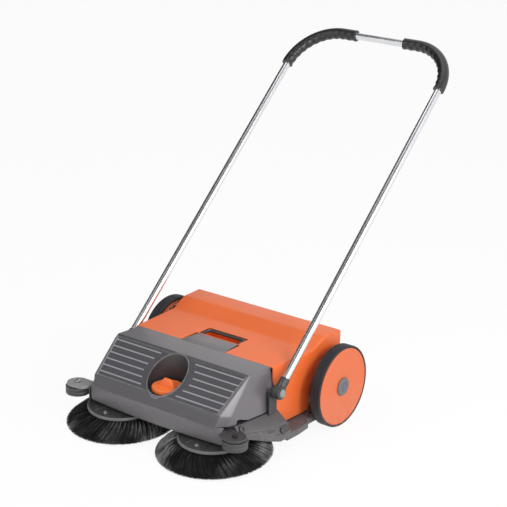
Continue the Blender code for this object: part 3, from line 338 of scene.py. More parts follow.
plasticDial = {
    # record's slot, colour, pale edge colour (wear and painted highlight), grain per metre, its depth, roughness,
    # share of pale edge (wear and painted highlight), dust, gloss of the top skin
    "orangeShell": ("orange_plastic", (234, 110, 52), (246, 164, 124), 1500, 0.1, 0.42, 0.3, 0.05, 0.45),
    # orangeRecessPaintedShade: the orange with almost no gloss, for the recess sides beside the wheels, a painted
    # shade
    "orangeRecessPaintedShade": ("orange_plastic", (238, 108, 48), (246, 164, 124), 1500, 0.1, 0.7, 0.2, 0.05, 0.06),
    # orangeKnobPaintedLight: the orange painted brighter for the knob that sits in the well's shade, painted light
    "orangeKnobPaintedLight": ("orange_plastic", (248, 122, 56), (250, 190, 140), 1500, 0.1, 0.38, 0.4, 0.0, 0.45),
    "orangeWheel": ("wheel_plastic", (216, 106, 60), (240, 168, 128), 1300, 0.12, 0.46, 0.3, 0.25, 0.45),
    # greyCover: its strong, pale edge colour is mostly a painted highlight along the cover's rounded edges
    "greyCover": ("dark_plastic", (101, 97, 101), (205, 204, 206), 1100, 0.3, 0.33, 0.7, 0.08, 0.75),
    # greyFacePaintedShade: the cover's grey painted darker on the sunk face and on the frame line round it, a painted
    # shade
    "greyFacePaintedShade": ("dark_plastic", (66, 66, 71), (120, 120, 124), 1100, 0.3, 0.5, 0.12, 0.0, 0.75),
    # greyRibsPaintedHighlight: the cover's plastic painted lighter on the ribs, a painted highlight
    "greyRibsPaintedHighlight": ("dark_plastic", (150, 149, 154), (215, 214, 218), 1100, 0.1, 0.45, 0.6, 0.0, 0.75),
    "greyChassis": ("dark_plastic", (100, 98, 101), (165, 164, 166), 1000, 0.3, 0.5, 0.5, 0.2, 0.75),
    # greySideAndBandShade: the chassis side's own grey; on the cover's lower front band it is a painted shade
    "greySideAndBandShade": ("dark_plastic", (84, 82, 85), (165, 164, 166), 1000, 0.3, 0.5, 0.5, 0.2, 0.45),
    # wellPaintedShade: the cover's plastic painted darker inside the deep well, a painted shade
    "wellPaintedShade": ("dark_plastic", (52, 51, 53), (110, 110, 112), 1000, 0.25, 0.45, 0.3, 0.0, 0.75),
    "darkMoulding": ("dark_plastic", (48, 47, 50), (104, 104, 108), 1000, 0.25, 0.48, 0.35, 0.12, 0.75),
    "lightMoulding": ("grey_plastic", (138, 137, 139), (184, 184, 186), 1000, 0.25, 0.46, 0.45, 0.15, 0.75),
    "milkyNylon": ("nylon", (214, 210, 200), (235, 232, 225), 900, 0.1, 0.45, 0.1, 0.2, 0.75),
    "tyreRubber": ("tyre_rubber", (42, 40, 44), (84, 84, 90), 1400, 0.3, 0.6, 0.35, 0.25, 0.35),
    "rollerGrey": ("grey_plastic", (50, 48, 50), (140, 139, 141), 900, 0.25, 0.5, 0.4, 0.15, 0.75),
    "softRubber": ("belt_rubber", (40, 40, 42), (80, 80, 82), 1200, 0.25, 0.7, 0.2, 0.2, 0.75),
    "gripFoam": ("grip_foam", (12, 12, 14), (60, 60, 62), 2200, 0.45, 0.36, 0.15, 0.0, 0.75),
    "capCentre": ("dark_plastic", (84, 84, 106), (130, 132, 150), 1200, 0.1, 0.4, 0.2, 0.1, 0.75),
}
metalDial = {
    # record's slot, colour, roughness, depth of the marks
    "chromeTube": ("chrome_tube", (228, 229, 232), 0.22, 0.02),
    "zincSteel": ("zinc_steel", (198, 200, 205), 0.32, 0.12),
    # zincPaintedShade: zinc steel painted dark, a painted shade, for the bracket between hopper and tyre and for the
    # right roller bolt
    "zincPaintedShade": ("zinc_steel", (74, 66, 64), 0.55, 0.2),
}
slotOf = {name: values[0] for name, values in [*plasticDial.items(), *metalDial.items()]}
slotOf["bristleFibre"] = "bristles"
finishes = {}


def finish(name):
    if name in finishes:
        return finishes[name]
    made, tree, shader = newMaterial(name)
    skin = addNode(tree, "Group")
    if name in plasticDial:
        _, colour, wornAndHighlit, scale, depth, rough, wearAndHighlight, dust, gloss = plasticDial[name]
        skin.node_tree = mouldedSkin
        shader.inputs["Specular IOR Level"].default_value = gloss
        values = {"Worn And Highlit Edge": linear(*wornAndHighlit), "Grain Scale": scale, "Grain Depth": depth, "Edge Wear And Highlight": wearAndHighlight, "Dust": dust}
    else:
        _, colour, rough, marks = metalDial[name]
        skin.node_tree = metalSkin
        shader.inputs["Metallic"].default_value = 1.0
        values = {"Marks": marks}
    for label, value in {"Colour": linear(*colour), "Gloss": rough, **values}.items():
        skin.inputs[label].default_value = value
    for label, target in (("Colour", "Base Color"), ("Roughness", "Roughness"), ("Normal", "Normal")):
        tree.links.new(skin.outputs[label], shader.inputs[target])
    finishes[name] = made
    return made


def paintIn(obj, *names):
    obj.data.materials.clear()
    for name in names:
        obj.data.materials.append(finish(name))


def strandFinish():
    # black nylon fibre: every strand has its own tone, kept in the mesh as an attribute; the lighter streaks and broad
    # patches mixed into the colour are a painted sheen
    made, tree, shader = newMaterial("bristleFibre")
    tone = addNode(tree, "Attribute", attribute_name="strand").outputs["Fac"]
    place = addNode(tree, "TexCoord").outputs["Object"]
    streak = noise(tree, place, 22.0, 3.0, 0.6)
    sheenPatch = noise(tree, place, 7.0, 1.0, 0.5)
    toneAndSheen = calculate(tree, "MULTIPLY", tone, ramp(tree, streak, 0.36, 0.62, 0.3, 1))
    toneAndSheen = calculate(tree, "MULTIPLY", toneAndSheen, ramp(tree, sheenPatch, 0.47, 0.62, 0.1, 1))
    colour = mixColour(tree, toneAndSheen, linear(11, 11, 12), linear(200, 200, 203))
    give(tree, shader.inputs["Base Color"], colour)
    give(tree, shader.inputs["Roughness"], ramp(tree, streak, 0.3, 0.7, 0.62, 0.5))
    shader.inputs["Specular IOR Level"].default_value = 0.13
    finishes["bristleFibre"] = made


strandFinish()
print("finishes are mixed")


# ways of working, as at the bench
axisTurn = {"X": (0, math.pi / 2, 0), "Z": (0, 0, 0)}
past = 0.4       # a cutter's reach, past every side of the sweeper
nearAxis = 0.002


def take(*objects):
    clearHands()
    for obj in objects:
        obj.select_set(True)
    bpy.context.view_layer.objects.active = objects[-1]


def settlePlace(obj):
    take(obj)
    bpy.ops.object.transform_apply(location=True, rotation=True, scale=True)
    return obj


def standAt(obj, at, turn=(0, 0, 0)):
    obj.rotation_euler = turn
    obj.location = at
    return settlePlace(obj)


def copyOf(obj):
    take(obj)
    bpy.ops.object.duplicate()
    return bpy.context.object


def openEdit(obj, kind="FACE", action="DESELECT"):
    take(obj)
    bpy.ops.object.mode_set(mode="EDIT")
    bpy.ops.mesh.select_mode(type=kind)
    bpy.ops.mesh.select_all(action=action)


def pick(obj, test, kind="FACE"):
    # selects the faces or edges of obj, already in edit mode, that pass the test, and counts them
    bpy.ops.mesh.select_mode(type=kind)
    bpy.ops.mesh.select_all(action="DESELECT")
    bm = bmesh.from_edit_mesh(obj.data)
    chosen = [item for item in (bm.faces if kind == "FACE" else bm.edges) if test(item)]
    for item in chosen:
        item.select_set(True)
    bmesh.update_edit_mesh(obj.data)
    return len(chosen)


def closeEdit(outwards=False):
    if outwards:
        bpy.ops.mesh.select_all(action="SELECT")
        bpy.ops.mesh.normals_make_consistent(inside=False)
    bpy.ops.object.mode_set(mode="OBJECT")


def useModifier(obj, kind, **values):
    take(obj)
    modifier = obj.modifiers.new(kind.lower(), kind)
    for label, value in values.items():
        setattr(modifier, label, value)
    bpy.ops.object.modifier_apply(modifier=modifier.name)
    return obj


def soften(obj, width, segments=3, angle=30):
    return useModifier(obj, "BEVEL", width=width, segments=segments, limit_method="ANGLE",
                       angle_limit=math.radians(angle), harden_normals=False)


def thicken(obj, wall, offset, even=True):
    return useModifier(obj, "SOLIDIFY", thickness=wall, offset=offset, use_even_offset=even)


def carve(obj, tool, operation="DIFFERENCE"):
    useModifier(obj, "BOOLEAN", object=tool, operation=operation, solver="EXACT")
    bpy.data.objects.remove(tool)


def joinPieces(*objects):
    take(*objects)
    bpy.ops.object.join()
    return bpy.context.object


def handIn(obj, name, material, body, node=None, angle=32, stand=atAxle):
    # the finished piece is stood in place and gets its name, finish and the body that it moves with
    bpy.context.view_layer.update()
    obj.matrix_world = stand @ obj.matrix_world
    settlePlace(obj)
    bpy.ops.object.shade_smooth_by_angle(angle=math.radians(angle))
    obj.name = obj.data.name = name
    if not obj.data.materials:
        paintIn(obj, material)
    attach(obj, body)
    if node:
        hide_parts(node)


def handInPair(obj, name, material, body, node=None, angle=32, stand=atAxle, leftPaintedLight=None):
    # the piece of the right side is handed in, then its twin, mirrored to the left
    def names(side):
        return body if body in bodies else body + side, node and node + side

    handIn(obj, name + "Right", material, *names("_right"), angle, stand)
    twin = copyOf(obj)
    bpy.ops.object.parent_clear(type="CLEAR_KEEP_TRANSFORM")
    twin.scale.x = -1
    bpy.ops.object.transform_apply(location=False, rotation=False, scale=True)
    openEdit(twin)
    closeEdit(outwards=True)
    for key in [k for k in twin.keys() if k.startswith("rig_")]:
        del twin[key]
    # the left twin may take a lighter finish than the right piece: painted light there, painted shade on the right
    if leftPaintedLight:
        paintIn(twin, leftPaintedLight)
    handIn(twin, name + "Left", leftPaintedLight or material, *names("_left"), angle, Matrix.Identity(4))


def boxBlock(low, high):
    clearHands()
    bpy.ops.mesh.primitive_cube_add(size=1, location=[(a + b) / 2 for a, b in zip(low, high)])
    bpy.context.object.scale = [b - a for a, b in zip(low, high)]
    return settlePlace(bpy.context.object)


def softBlock(low, high, width, segments=2):
    return soften(boxBlock(low, high), width, segments)


def barrel(radius, start, end, at, sides, axis="Z"):
    clearHands()
    middle = list(at)
    middle["XYZ".index(axis)] = (start + end) / 2
    bpy.ops.mesh.primitive_cylinder_add(vertices=sides, radius=radius, depth=end - start, location=middle,
                                        rotation=axisTurn[axis])
    return settlePlace(bpy.context.object)


def turnOnLathe(profile, steps, axis="Z", at=(0, 0, 0)):
    # a circle is drawn out ring by ring along the profile of (radius, distance along the axis);
    # ends next to the axis get a flat cap each, and any others are joined to each other
    clearHands()
    radius, height = profile[0]
    bpy.ops.mesh.primitive_circle_add(vertices=steps, radius=radius, location=(0, 0, height))
    obj = settlePlace(bpy.context.object)
    openEdit(obj, "EDGE", "SELECT")
    for nextRadius, nextHeight in profile[1:]:
        bpy.ops.mesh.extrude_edges_move(TRANSFORM_OT_translate={"value": (0, 0, nextHeight - height)})
        share = nextRadius / radius
        bpy.ops.transform.resize(value=(share, share, 1))
        radius, height = nextRadius, nextHeight
    pick(obj, lambda edge: edge.is_boundary, "EDGE")
    if radius > nearAxis:
        bpy.ops.mesh.bridge_edge_loops()
    else:
        for end in (profile[0][1], profile[-1][1]):
            pick(obj, lambda edge: edge.is_boundary and abs(edge.verts[0].co.z - end) < 1e-6, "EDGE")
            bpy.ops.mesh.edge_face_add()
    closeEdit(outwards=True)
    return standAt(obj, at, axisTurn[axis])


def mirrored(profile, span=0):
    # the far half of a profile that is the same from both ends
    return [(radius, span - place) for radius, place in reversed(profile)]


def bothSpans(near, far):
    # a span of x on the right side, and the same one on the left
    return (near, far), (-far, -near)


def flatShape(outline, start, end, axis="Z"):
    # an outline of (x, y), or (y, z) for X, cut from sheet between start and end
    clearHands()
    bpy.ops.mesh.primitive_circle_add(vertices=len(outline), radius=1, fill_type="NGON")
    obj = bpy.context.object
    for corner, (u, v) in zip(obj.data.vertices, outline):
        corner.co = (start, u, v) if axis == "X" else (u, v, start)
    openEdit(obj, action="SELECT")
    move = (end - start, 0, 0) if axis == "X" else (0, 0, end - start)
    bpy.ops.mesh.extrude_region_move(TRANSFORM_OT_translate={"value": move})
    closeEdit(outwards=True)
    return obj


def arc(x, y, radius, start, sweep, steps):
    turns = [math.radians(start + sweep * k / steps) for k in range(steps + 1)]
    return [(x + radius * math.cos(turn), y + radius * math.sin(turn)) for turn in turns]


def roundedRun(corners, radius, steps):
    # a line through the corners, with an arc of the radius at each one but the ends
    corners = [Vector(c) for c in corners]
    run = [corners[0]]
    for before, corner, after in zip(corners, corners[1:], corners[2:]):
        into, out = (corner - before).normalized(), (after - corner).normalized()
        turn = into.angle(out)
        reach = radius * math.tan(turn / 2)
        centre = corner + (out - into).normalized() * (radius / math.cos(turn / 2))
        start = corner - into * reach - centre
        axis = into.cross(out).normalized()
        run += [centre + Matrix.Rotation(turn * k / steps, 3, axis) @ start for k in range(steps + 1)]
    return run + [corners[-1]]


def bentTube(points, radius, sides):
    # a round bar along points that are already on a smooth line
    clearHands()
    bpy.ops.curve.primitive_nurbs_path_add()
    curve = bpy.context.object.data
    curve.splines.clear()
    curve.dimensions = "3D"
    line = curve.splines.new("POLY")
    line.points.add(len(points) - 1)
    for point, place in zip(line.points, points):
        point.co = (*place, 1)
    curve.bevel_depth = radius
    curve.bevel_resolution = sides // 2 - 2
    curve.use_fill_caps = True
    bpy.ops.object.convert(target="MESH")
    obj = bpy.context.object
    openEdit(obj, action="SELECT")
    bpy.ops.mesh.remove_doubles(threshold=0.00001)
    closeEdit(outwards=True)
    return settlePlace(obj)


def reshapedGrid(rows):
    # a grid with its corners moved to rows of places, the front row first and each from left to right
    clearHands()
    bpy.ops.mesh.primitive_grid_add(x_subdivisions=len(rows[0]) - 1, y_subdivisions=len(rows) - 1, size=1)
    obj = bpy.context.object
    corners = sorted(obj.data.vertices, key=lambda v: (round(v.co.y, 4), round(v.co.x, 4)))
    for corner, place in zip(corners, [place for row in rows for place in row]):
        corner.co = place
    return obj


def bevelPicked(obj, test, width, segments=3, kind="EDGE"):
    # rounds single edges, or all edges of the picked faces
    openEdit(obj, kind)
    if pick(obj, test, kind):
        bpy.ops.mesh.bevel(offset=width, segments=segments, affect="EDGES", clamp_overlap=kind == "EDGE")
    closeEdit()


def sharpEdge(edge, angle):
    return len(edge.link_faces) == 2 and edge.calc_face_angle(0) > math.radians(angle)


def bevelSharp(obj, angle, width, segments=3, above=-1, least=0):
    # rounds edges sharper than the angle, if their middle is above a height and they are long enough
    bevelPicked(obj, lambda e: sharpEdge(e, angle) and e.calc_length() > least and
                e.verts[0].co.z + e.verts[1].co.z > 2 * above, width, segments)


def insetPicked(obj, test, *steps):
    # each step insets the picked faces by its first number and raises them by its second
    openEdit(obj)
    pick(obj, test)
    for thickness, depth in steps:
        bpy.ops.mesh.inset(thickness=thickness, depth=depth)
    closeEdit()


def topFace(area):
    return lambda face: face.normal.z > 0.99 and face.calc_area() > area


def hexHead(radius, height, at, washer=0.0, tilt=0.0):
    # a hexagon bolt head, chamfered at the top, on its washer
    head = barrel(radius, 0, height, (0, 0, 0), 6)
    bevelPicked(head, lambda e: all(v.co.z > height * 0.9 for v in e.verts), height * 0.16, 2)
    if washer:
        ring = turnOnLathe([(radius * 0.5, -washer), (radius * 1.35, -washer), (radius * 1.35, -washer * 0.2),
                            (radius * 1.28, 0.0002), (radius * 0.5, 0.0002)], 24)
        head = joinPieces(ring, head)
    return standAt(head, at, (tilt, 0, 0))


def barsRound(count, low, high, width, axis, at=(0, 0, 0), first=0.0):
    # bars like spokes; the first one is turned by its share of the pitch
    bars = []
    for k in range(count):
        angle = 2 * math.pi * (k + first) / count
        bars.append(standAt(softBlock(low, high, width, 1), at, (angle, 0, 0) if axis == "X" else (0, 0, angle)))
    return bars


# wheels: tyre with grooves, orange disc with ribs behind it, cap over the axle
wheelDial = {
    "steps": 96,
    "tyreDeep": 0.0112,
    "seat": 0.0022,          # how far the disc's lip is sunk in the tyre's wall
    "grooveDepth": 0.0011,
    "grooves": (-0.009, 0.0, 0.009),
    "grooveHalf": 0.0012,
    "shoulder": 0.0045,
    "rimDeep": 0.032,
    "boss": 0.017,
    "bore": 0.0083,
    "discStep": 0.0014,
    "discInset": 0.006,
    "ribs": 10,
    "ribHalf": 0.0013,
    "capRadius": 0.027,
    "capCentre": 0.0145,
}


def makeTyre(dial):
    low, high = boxOf("tyre_right")
    radius, half = (high.z - low.z) / 2, (high.x - low.x) / 2
    bore, wall = radius - dial["tyreDeep"], -half + dial["seat"]
    edge, wide, deep = dial["shoulder"], dial["grooveHalf"], dial["grooveDepth"]
    outer = [(bore, wall), (bore + 0.0047, wall), (bore + 0.0052, -half)]
    outer += [(radius - edge + edge * math.sin(math.radians(a)), -half + edge - edge * math.cos(math.radians(a)))
              for a in (0, 22, 45, 68, 90)]
    grooves = []
    for groove in dial["grooves"]:
        grooves += [(radius, groove - wide), (radius - deep, groove - wide * 0.5),
                    (radius - deep, groove + wide * 0.5), (radius, groove + wide)]
    tyre = turnOnLathe(outer + grooves + mirrored(outer), dial["steps"], "X", (low + high) / 2)
    handInPair(tyre, "tyre", "tyreRubber", "wheel", "tyre")


def makeWheelDisc(dial):
    low, high = boxOf("wheel_right")
    rim, face = (high.z - low.z) / 2, high.x
    rimIn, rear, boss, bore = rim - 0.0065, face - dial["rimDeep"], dial["boss"], dial["bore"]
    step, lip = face - dial["discStep"], rim - dial["discInset"]
    shell = [(rim, face - 0.0014), (rim, rear), (rimIn, rear), (rimIn, face - 0.008), (rimIn - 0.008, face - 0.0045),
             (boss, face - 0.0045), (boss, low.x), (bore, low.x), (bore, face - 0.0015), (0.03, face - 0.0015),
             (0.0315, step), (lip - 0.0018, step), (lip, face - 0.0002), (lip + 0.0012, face), (rim + 0.003, face),
             (rim + 0.004, face - 0.0005), (rim + 0.0042, face - 0.001), (rim, face - 0.001)]
    axle = (0, 0, rim + 0.0115)
    disc = turnOnLathe(shell, dial["steps"], "X", axle)
    half = dial["ribHalf"]
    ribs = barsRound(dial["ribs"], (face - 0.019, boss - 0.001, -half), (face - 0.0042, rimIn - 0.0025, half),
                     0.0005, "X", axle)
    handInPair(joinPieces(*ribs, disc), "wheelDisc", "orangeWheel", "wheel", "wheel", 30)


def makeHubCap(dial):
    low, high = boxOf("hub_cap_right")
    middle = (low + high) / 2
    at, face, foot = (0, middle.y, middle.z), high.x, low.x
    big, small = dial["capRadius"], dial["capCentre"]
    cap = turnOnLathe([(0.001, face - 0.0018), (small - 0.001, face - 0.0018), (small - 0.0004, face - 0.0006),
                       (small + 0.001, face), (big - 0.007, face), (big - 0.003, face - 0.0006),
                       (big - 0.0008, face - 0.0018), (big, face - 0.0032), (big, foot), (0.001, foot)], 64, "X", at)
    handInPair(cap, "hubCap", "greyChassis", "wheel", "hub_cap")
    button = turnOnLathe([(0.001, face - 0.0001), (small * 0.6, face - 0.0003), (small - 0.0026, face - 0.0007),
                          (small - 0.0014, face - 0.0014), (small - 0.0014, face - 0.0024),
                          (0.001, face - 0.0024)], 48, "X", at)
    handInPair(button, "capButton", "capCentre", "wheel")


makeTyre(wheelDial)
makeWheelDisc(wheelDial)
makeHubCap(wheelDial)
print("wheels are made")


# the orange hopper: a hollow moulded box, cut away beside the wheels, with a sunk grip pocket
hopperDial = {
    "wall": 0.003,
    "round": 0.0055,
    "foot": 0.054,
    "top": 0.233,
    "rearTop": 0.257,
    "rise": (-0.057, -0.006),        # y where the top starts and stops to rise
    "front": (-0.205, -0.2345),      # y of the leaning front, below and above
    "frontBend": 0.203,
    "rear": 0.072,
    "halves": (0.2475, 0.263),       # half widths at the front and the rear
    "recessIn": 0.225,               # half width between the wheels
    "stepY": -0.0662,                # where the skirt ends ahead of the wheels
    "bandLow": 0.215,
    "archMiddle": (0.043, 0.093),    # y and z; the recess follows the wheel's round
    "archRadius": 0.112,
    "archSteps": 14,
    "driveGap": ((0.2325, 0.2515), (0.034, 0.0997)),         # x and z; the belt and its pulley pass here
    "pocketHalf": 0.071,
    "pocketY": (-0.163, -0.1145),
    "pocketDeep": 0.0335,
    "pocketRibs": (-0.045, -0.015, 0.015, 0.045),
    "tabRear": -0.1665,
    # x and y of the lip that hangs down beside each wheel
    "lip": ((0.2545, -0.018), (0.2574, -0.018), (0.2626, 0.0695), (0.2597, 0.0695)),
    "beads": (0.12, 0.132, 0.144),
    "beadHalf": 0.17,
    # x, y of the free ends, y of the grip, z and radius of the bail
    "bail": (0.0653, -0.156, -0.1212, 0.2283, 0.0045),
    "bailPins": ((0.063, 0.0731), 0.003),        # x of a pin's ends, and its radius
}


def recessOutline(dial, inset):
    (y, z), radius, front = dial["archMiddle"], dial["archRadius"] + inset, dial["stepY"] - inset
    foot = math.degrees(math.acos((front - y) / radius))
    high = dial["bandLow"] + inset
    arch = arc(y, z, radius, 90, foot - 90, dial["archSteps"])
    return [(0.3, -0.2), (0.3, high), (y + 0.017, high), *arch, (front, -0.2)]


def hopperForm(dial, inset, extra):
    (frontLow, frontTop), (riseStart, riseEnd), rear = dial["front"], dial["rise"], dial["rear"]
    low, top, rearTop = dial["foot"] - extra, dial["top"] - inset, dial["rearTop"] - inset
    form = flatShape([(frontLow - extra, low), (rear - inset, low), (rear - inset, rearTop), (riseEnd, rearTop),
                      (riseStart, top), (frontTop - extra, top)], -1, 1, "X")
    frontHalf, rearHalf = dial["halves"]
    for corner in form.data.vertices:
        share = (corner.co.y - frontTop) / (rear - frontTop)
        corner.co.x *= frontHalf + share * (rearHalf - frontHalf) - inset
    for near, far in bothSpans(dial["recessIn"] - inset, past):
        carve(form, flatShape(recessOutline(dial, inset), near, far, "X"))
    return form


def makeHopper(dial):
    foot, top, (frontLow, frontTop) = dial["foot"], dial["top"], dial["front"]
    shell = hopperForm(dial, 0, 0.02)
    bevelSharp(shell, 20, dial["round"], 4)
    carve(shell, boxBlock((-past, -past, -0.2), (past, past, foot)))
    carve(shell, flatShape([(-past, 0), (frontLow, 0), (frontLow, foot), (frontTop, dial["frontBend"]),
                            (frontTop, past), (-past, past)], -past, past, "X"))
    carve(shell, hopperForm(dial, dial["wall"], 0.06))
    gap, (gapLow, gapHigh) = dial["driveGap"]
    for near, far in bothSpans(*gap):
        carve(shell, boxBlock((near, dial["stepY"] - 0.008, gapLow), (far, dial["stepY"] + 0.005, gapHigh)))
    half, (front, rear), floor = dial["pocketHalf"], dial["pocketY"], top - dial["pocketDeep"]
    notch = half + 0.0085
    carve(shell, boxBlock((-notch, -0.3, 0.2), (notch, dial["tabRear"] + 0.001, 0.3)))
    hole = boxBlock((-half, front, floor), (half, rear, 0.3))
    bevelPicked(hole, lambda e: abs((e.verts[0].co - e.verts[1].co).normalized().z) > 0.9, 0.004, 4)
    space = copyOf(hole)
    carve(shell, hole)
    skin = 0.0025
    liner = boxBlock((-half - skin, front - skin, floor - skin), (half + skin, rear + skin, 0.2322))
    carve(liner, space)
    for x in dial["pocketRibs"]:
        liner = joinPieces(softBlock((x - 0.0008, front + 0.006, floor), (x + 0.0008, rear - 0.006, floor + 0.0012),
                                     0.0003, 1), liner)
    shell = joinPieces(liner, shell)
    for side in (1, -1):
        lip = flatShape([(side * x, y) for x, y in dial["lip"]], 0.1975, 0.217)
        shell = joinPieces(soften(lip, 0.0008, 2, 50), shell)
    wide, rearFace = dial["beadHalf"], dial["rear"]
    beads = [softBlock((-wide, rearFace - 0.0015, z), (wide, rearFace + 0.0012, z + 0.004), 0.0011)
             for z in dial["beads"]]
    shell = joinPieces(*beads, shell)
    paintIn(shell, "orangeShell", "orangeRecessPaintedShade")
    for face in shell.data.polygons:         # the sides of the recess behind each wheel are dull, with almost no gloss: a painted shade beside the wheel
        face.material_index = int(abs(abs(face.center.x) - dial["recessIn"]) < 0.0006 and abs(face.normal.x) > 0.9)
    handIn(shell, "hopperShell", "orangeShell", "hopper", "hopper_shell", 30)


def makeBail(dial):
    x, ends, grip, z, thick = dial["bail"]
    bail = bentTube(roundedRun([(-x, ends, z), (-x, grip, z), (x, grip, z), (x, ends, z)], 0.009, 8), thick, 16)
    pinSpan, pinRadius = dial["bailPins"]
    pins = [barrel(pinRadius, *span, (0, ends + 0.004, z), 16, "X") for span in bothSpans(*pinSpan)]
    handIn(joinPieces(*pins, bail), "hopperBail", "darkMoulding", "bail", "hopper_bail")


makeHopper(hopperDial)
makeBail(hopperDial)
print("hopper is made")


# the grey front cover: one bent sheet with a sunk ribbed face, a round well and a tongue to the pocket
coverDial = {
    "wall": 0.003,
    "edge": 0.0042,
    # the right half of each row of corners, from the lower front to the rear
    "rows": (
        ((0.214, -0.453, 0.122), (0.242, -0.424, 0.122), (0.249, -0.4, 0.1222)),
        ((0.222, -0.445, 0.15), (0.2445, -0.412, 0.145), (0.2495, -0.394, 0.135)),
        ((0.237, -0.329, 0.238), (0.2395, -0.333, 0.226), (0.25, -0.345, 0.1175)),
        ((0.237, -0.236, 0.233), (0.24, -0.232, 0.214), (0.25, -0.219, 0.1085)),
    ),
    "faceTop": (-0.329, 0.238),      # y and z of the sloping face, above and below
    "faceLow": (-0.445, 0.15),
    "faceNormal": (0, -0.088, 0.116),
    # inset and height: from the bent edge to the sunk face, down to it, and a groove round it
    "faceSteps": ((0.0016, 0), (0.0008, -0.0014), (0.003, -0.0008), (0.0006, 0.0008)),
    "tongue": ((-0.078, -0.2405), (0.078, -0.2405), (0.07, -0.1665), (-0.07, -0.1665)),
    "ribStart": -0.343,
    "ribPitch": 0.0171,
    "ribOuter": (0.2285, -0.0028),   # the first rib's end, and the change from rib to rib
    "ribInner": (0.062, 0.073, 0.081, 0.082, 0.074, 0.063),
    "wellRadius": 0.056,
    "wellFloor": 0.15,
    "wellSteps": 96,
    "spindleHole": 0.0055,
    "rimWide": 0.0034,
    # y and z of the space under the cover, and of a slab just proud of it; the cup and its rim are cut to these
    "cupSide": ((-0.3, 0.1), (-0.3, 0.2375), (-0.329, 0.2375), (-0.445, 0.1495), (-0.4585, 0.122), (-0.4585, 0.1)),
    "rimSide": ((-0.3, 0.2362), (-0.329, 0.2362), (-0.445, 0.1482), (-0.4585, 0.12), (-0.46, 0.1208),
                (-0.4457, 0.1511), (-0.3295, 0.2389), (-0.3, 0.2389)),
    "broomY": -0.388,
}


def faceHeight(dial, y):
    (topY, topZ), (lowY, lowZ) = dial["faceTop"], dial["faceLow"]
    return topZ + (y - topY) / (lowY - topY) * (lowZ - topZ)


def makeWell(dial):
    radius, floor, wall = dial["wellRadius"], dial["wellFloor"], dial["wall"]
    at, steps = (0, dial["broomY"], 0), dial["wellSteps"]
    cup = barrel(radius + wall, floor - wall, 0.3, at, steps)
    carve(cup, flatShape(dial["cupSide"], -0.2, 0.2, "X"), "INTERSECT")
    carve(cup, barrel(radius, floor, 0.31, at, steps))
    carve(cup, barrel(dial["spindleHole"], floor - 0.01, floor + 0.01, at, 32))
    rim = barrel(radius + dial["rimWide"], 0.12, 0.3, at, steps)
    carve(rim, flatShape(dial["rimSide"], -0.2, 0.2, "X"), "INTERSECT")
    carve(rim, barrel(radius + 0.0002, 0.1, 0.31, at, steps))
    soften(rim, 0.0006, 2, 50)
    ring = turnOnLathe([(0.0505, floor + 0.0001), (0.052, floor + 0.0014), (0.053, floor + 0.0014),
                        (0.0545, floor + 0.0001)], 64, "Z", at)
    return joinPieces(ring, cup), rim


def makeCover(dial):
    slope = Vector(dial["faceNormal"]).normalized()
    cover = reshapedGrid([[(-x, y, z) for x, y, z in reversed(row)] + [*row] for row in dial["rows"]])
    bevelSharp(cover, 12, dial["edge"], 4)
    insetPicked(cover, lambda f: f.normal.angle(slope) < 0.05 and f.calc_area() > 0.02, *dial["faceSteps"])
    thicken(cover, dial["wall"], -1)
    carve(cover, barrel(dial["wellRadius"] + 0.001, 0.146, 0.3, (0, dial["broomY"], 0), 96))
    tongue = flatShape(dial["tongue"], 0.23, 0.2333)
    bevelSharp(tongue, 60, 0.0009, 2, above=0.232, least=0.05)
    cover = joinPieces(tongue, cover)
    paintIn(cover, "greyCover", "greyFacePaintedShade", "greySideAndBandShade")
    for face in cover.data.polygons:
        (x, y, z), lean = face.center, face.normal.angle(slope)
        # the sunk face and a frame line along its top and sides take the darker grey: painted shade on the one
        # moulding
        sunk = lean < 0.05 and 0.0006 < faceHeight(dial, y) - z < 0.003 and y < -0.331
        frame = lean < 0.4 and (-0.336 < y < -0.326 or abs(x) > 0.2285) and z > 0.16
        # the lower front band of the cover takes the side's darker grey: painted shade
        shadedBand = -0.453 < y < -0.438 and abs(x) < 0.235 and face.normal.y < -0.5
        face.material_index = 2 if shadedBand else int(sunk or frame)
    handIn(cover, "frontCover", "greyCover", "chassis", "front_cover", 28)
    well, rim = makeWell(dial)
    # the well's cup and its floor ring are painted darker: painted shade in the deep well
    handIn(well, "coverWell", "wellPaintedShade", "chassis", None, 28)
    handIn(rim, "wellRim", "greyCover", "chassis", None, 40)


def makeRibs(dial):
    # thin raised ribs with round ends, on both sides of the well, painted lighter than the cover as a painted
    # highlight
    _, across, up = dial["faceNormal"]
    start, change = dial["ribOuter"]
    ribs = []
    for k, inner in enumerate(dial["ribInner"]):
        y = dial["ribStart"] - k * dial["ribPitch"]
        for near, far in bothSpans(inner, start + change * k):
            rib = boxBlock((near, -0.0021, -0.003), (far, 0.0021, 0.0006))
            bevelPicked(rib, lambda e: e.calc_length() > 0.02 and e.verts[0].co.z > 0, 0.0015)
            ribs.append(standAt(rib, (0, y, faceHeight(dial, y)), (math.atan2(-across, up), 0, 0)))
    handIn(joinPieces(*ribs), "coverRibs", "greyRibsPaintedHighlight", "chassis")


makeCover(coverDial)
makeRibs(coverDial)
print("front cover is made")


# the orange knob in the well, with a wedge grip
knobDial = {
    "radius": 0.0448,
    "flutes": 18,
    "fluteDeep": 0.0009,
    "low": 0.1515,
    "height": 0.01,
    "gripFoot": (0.033, 0.01, 0.004),     # half length, half width and z
    "gripTop": 0.031,
    "gripTaper": (0.34, 0.48, 1),
}


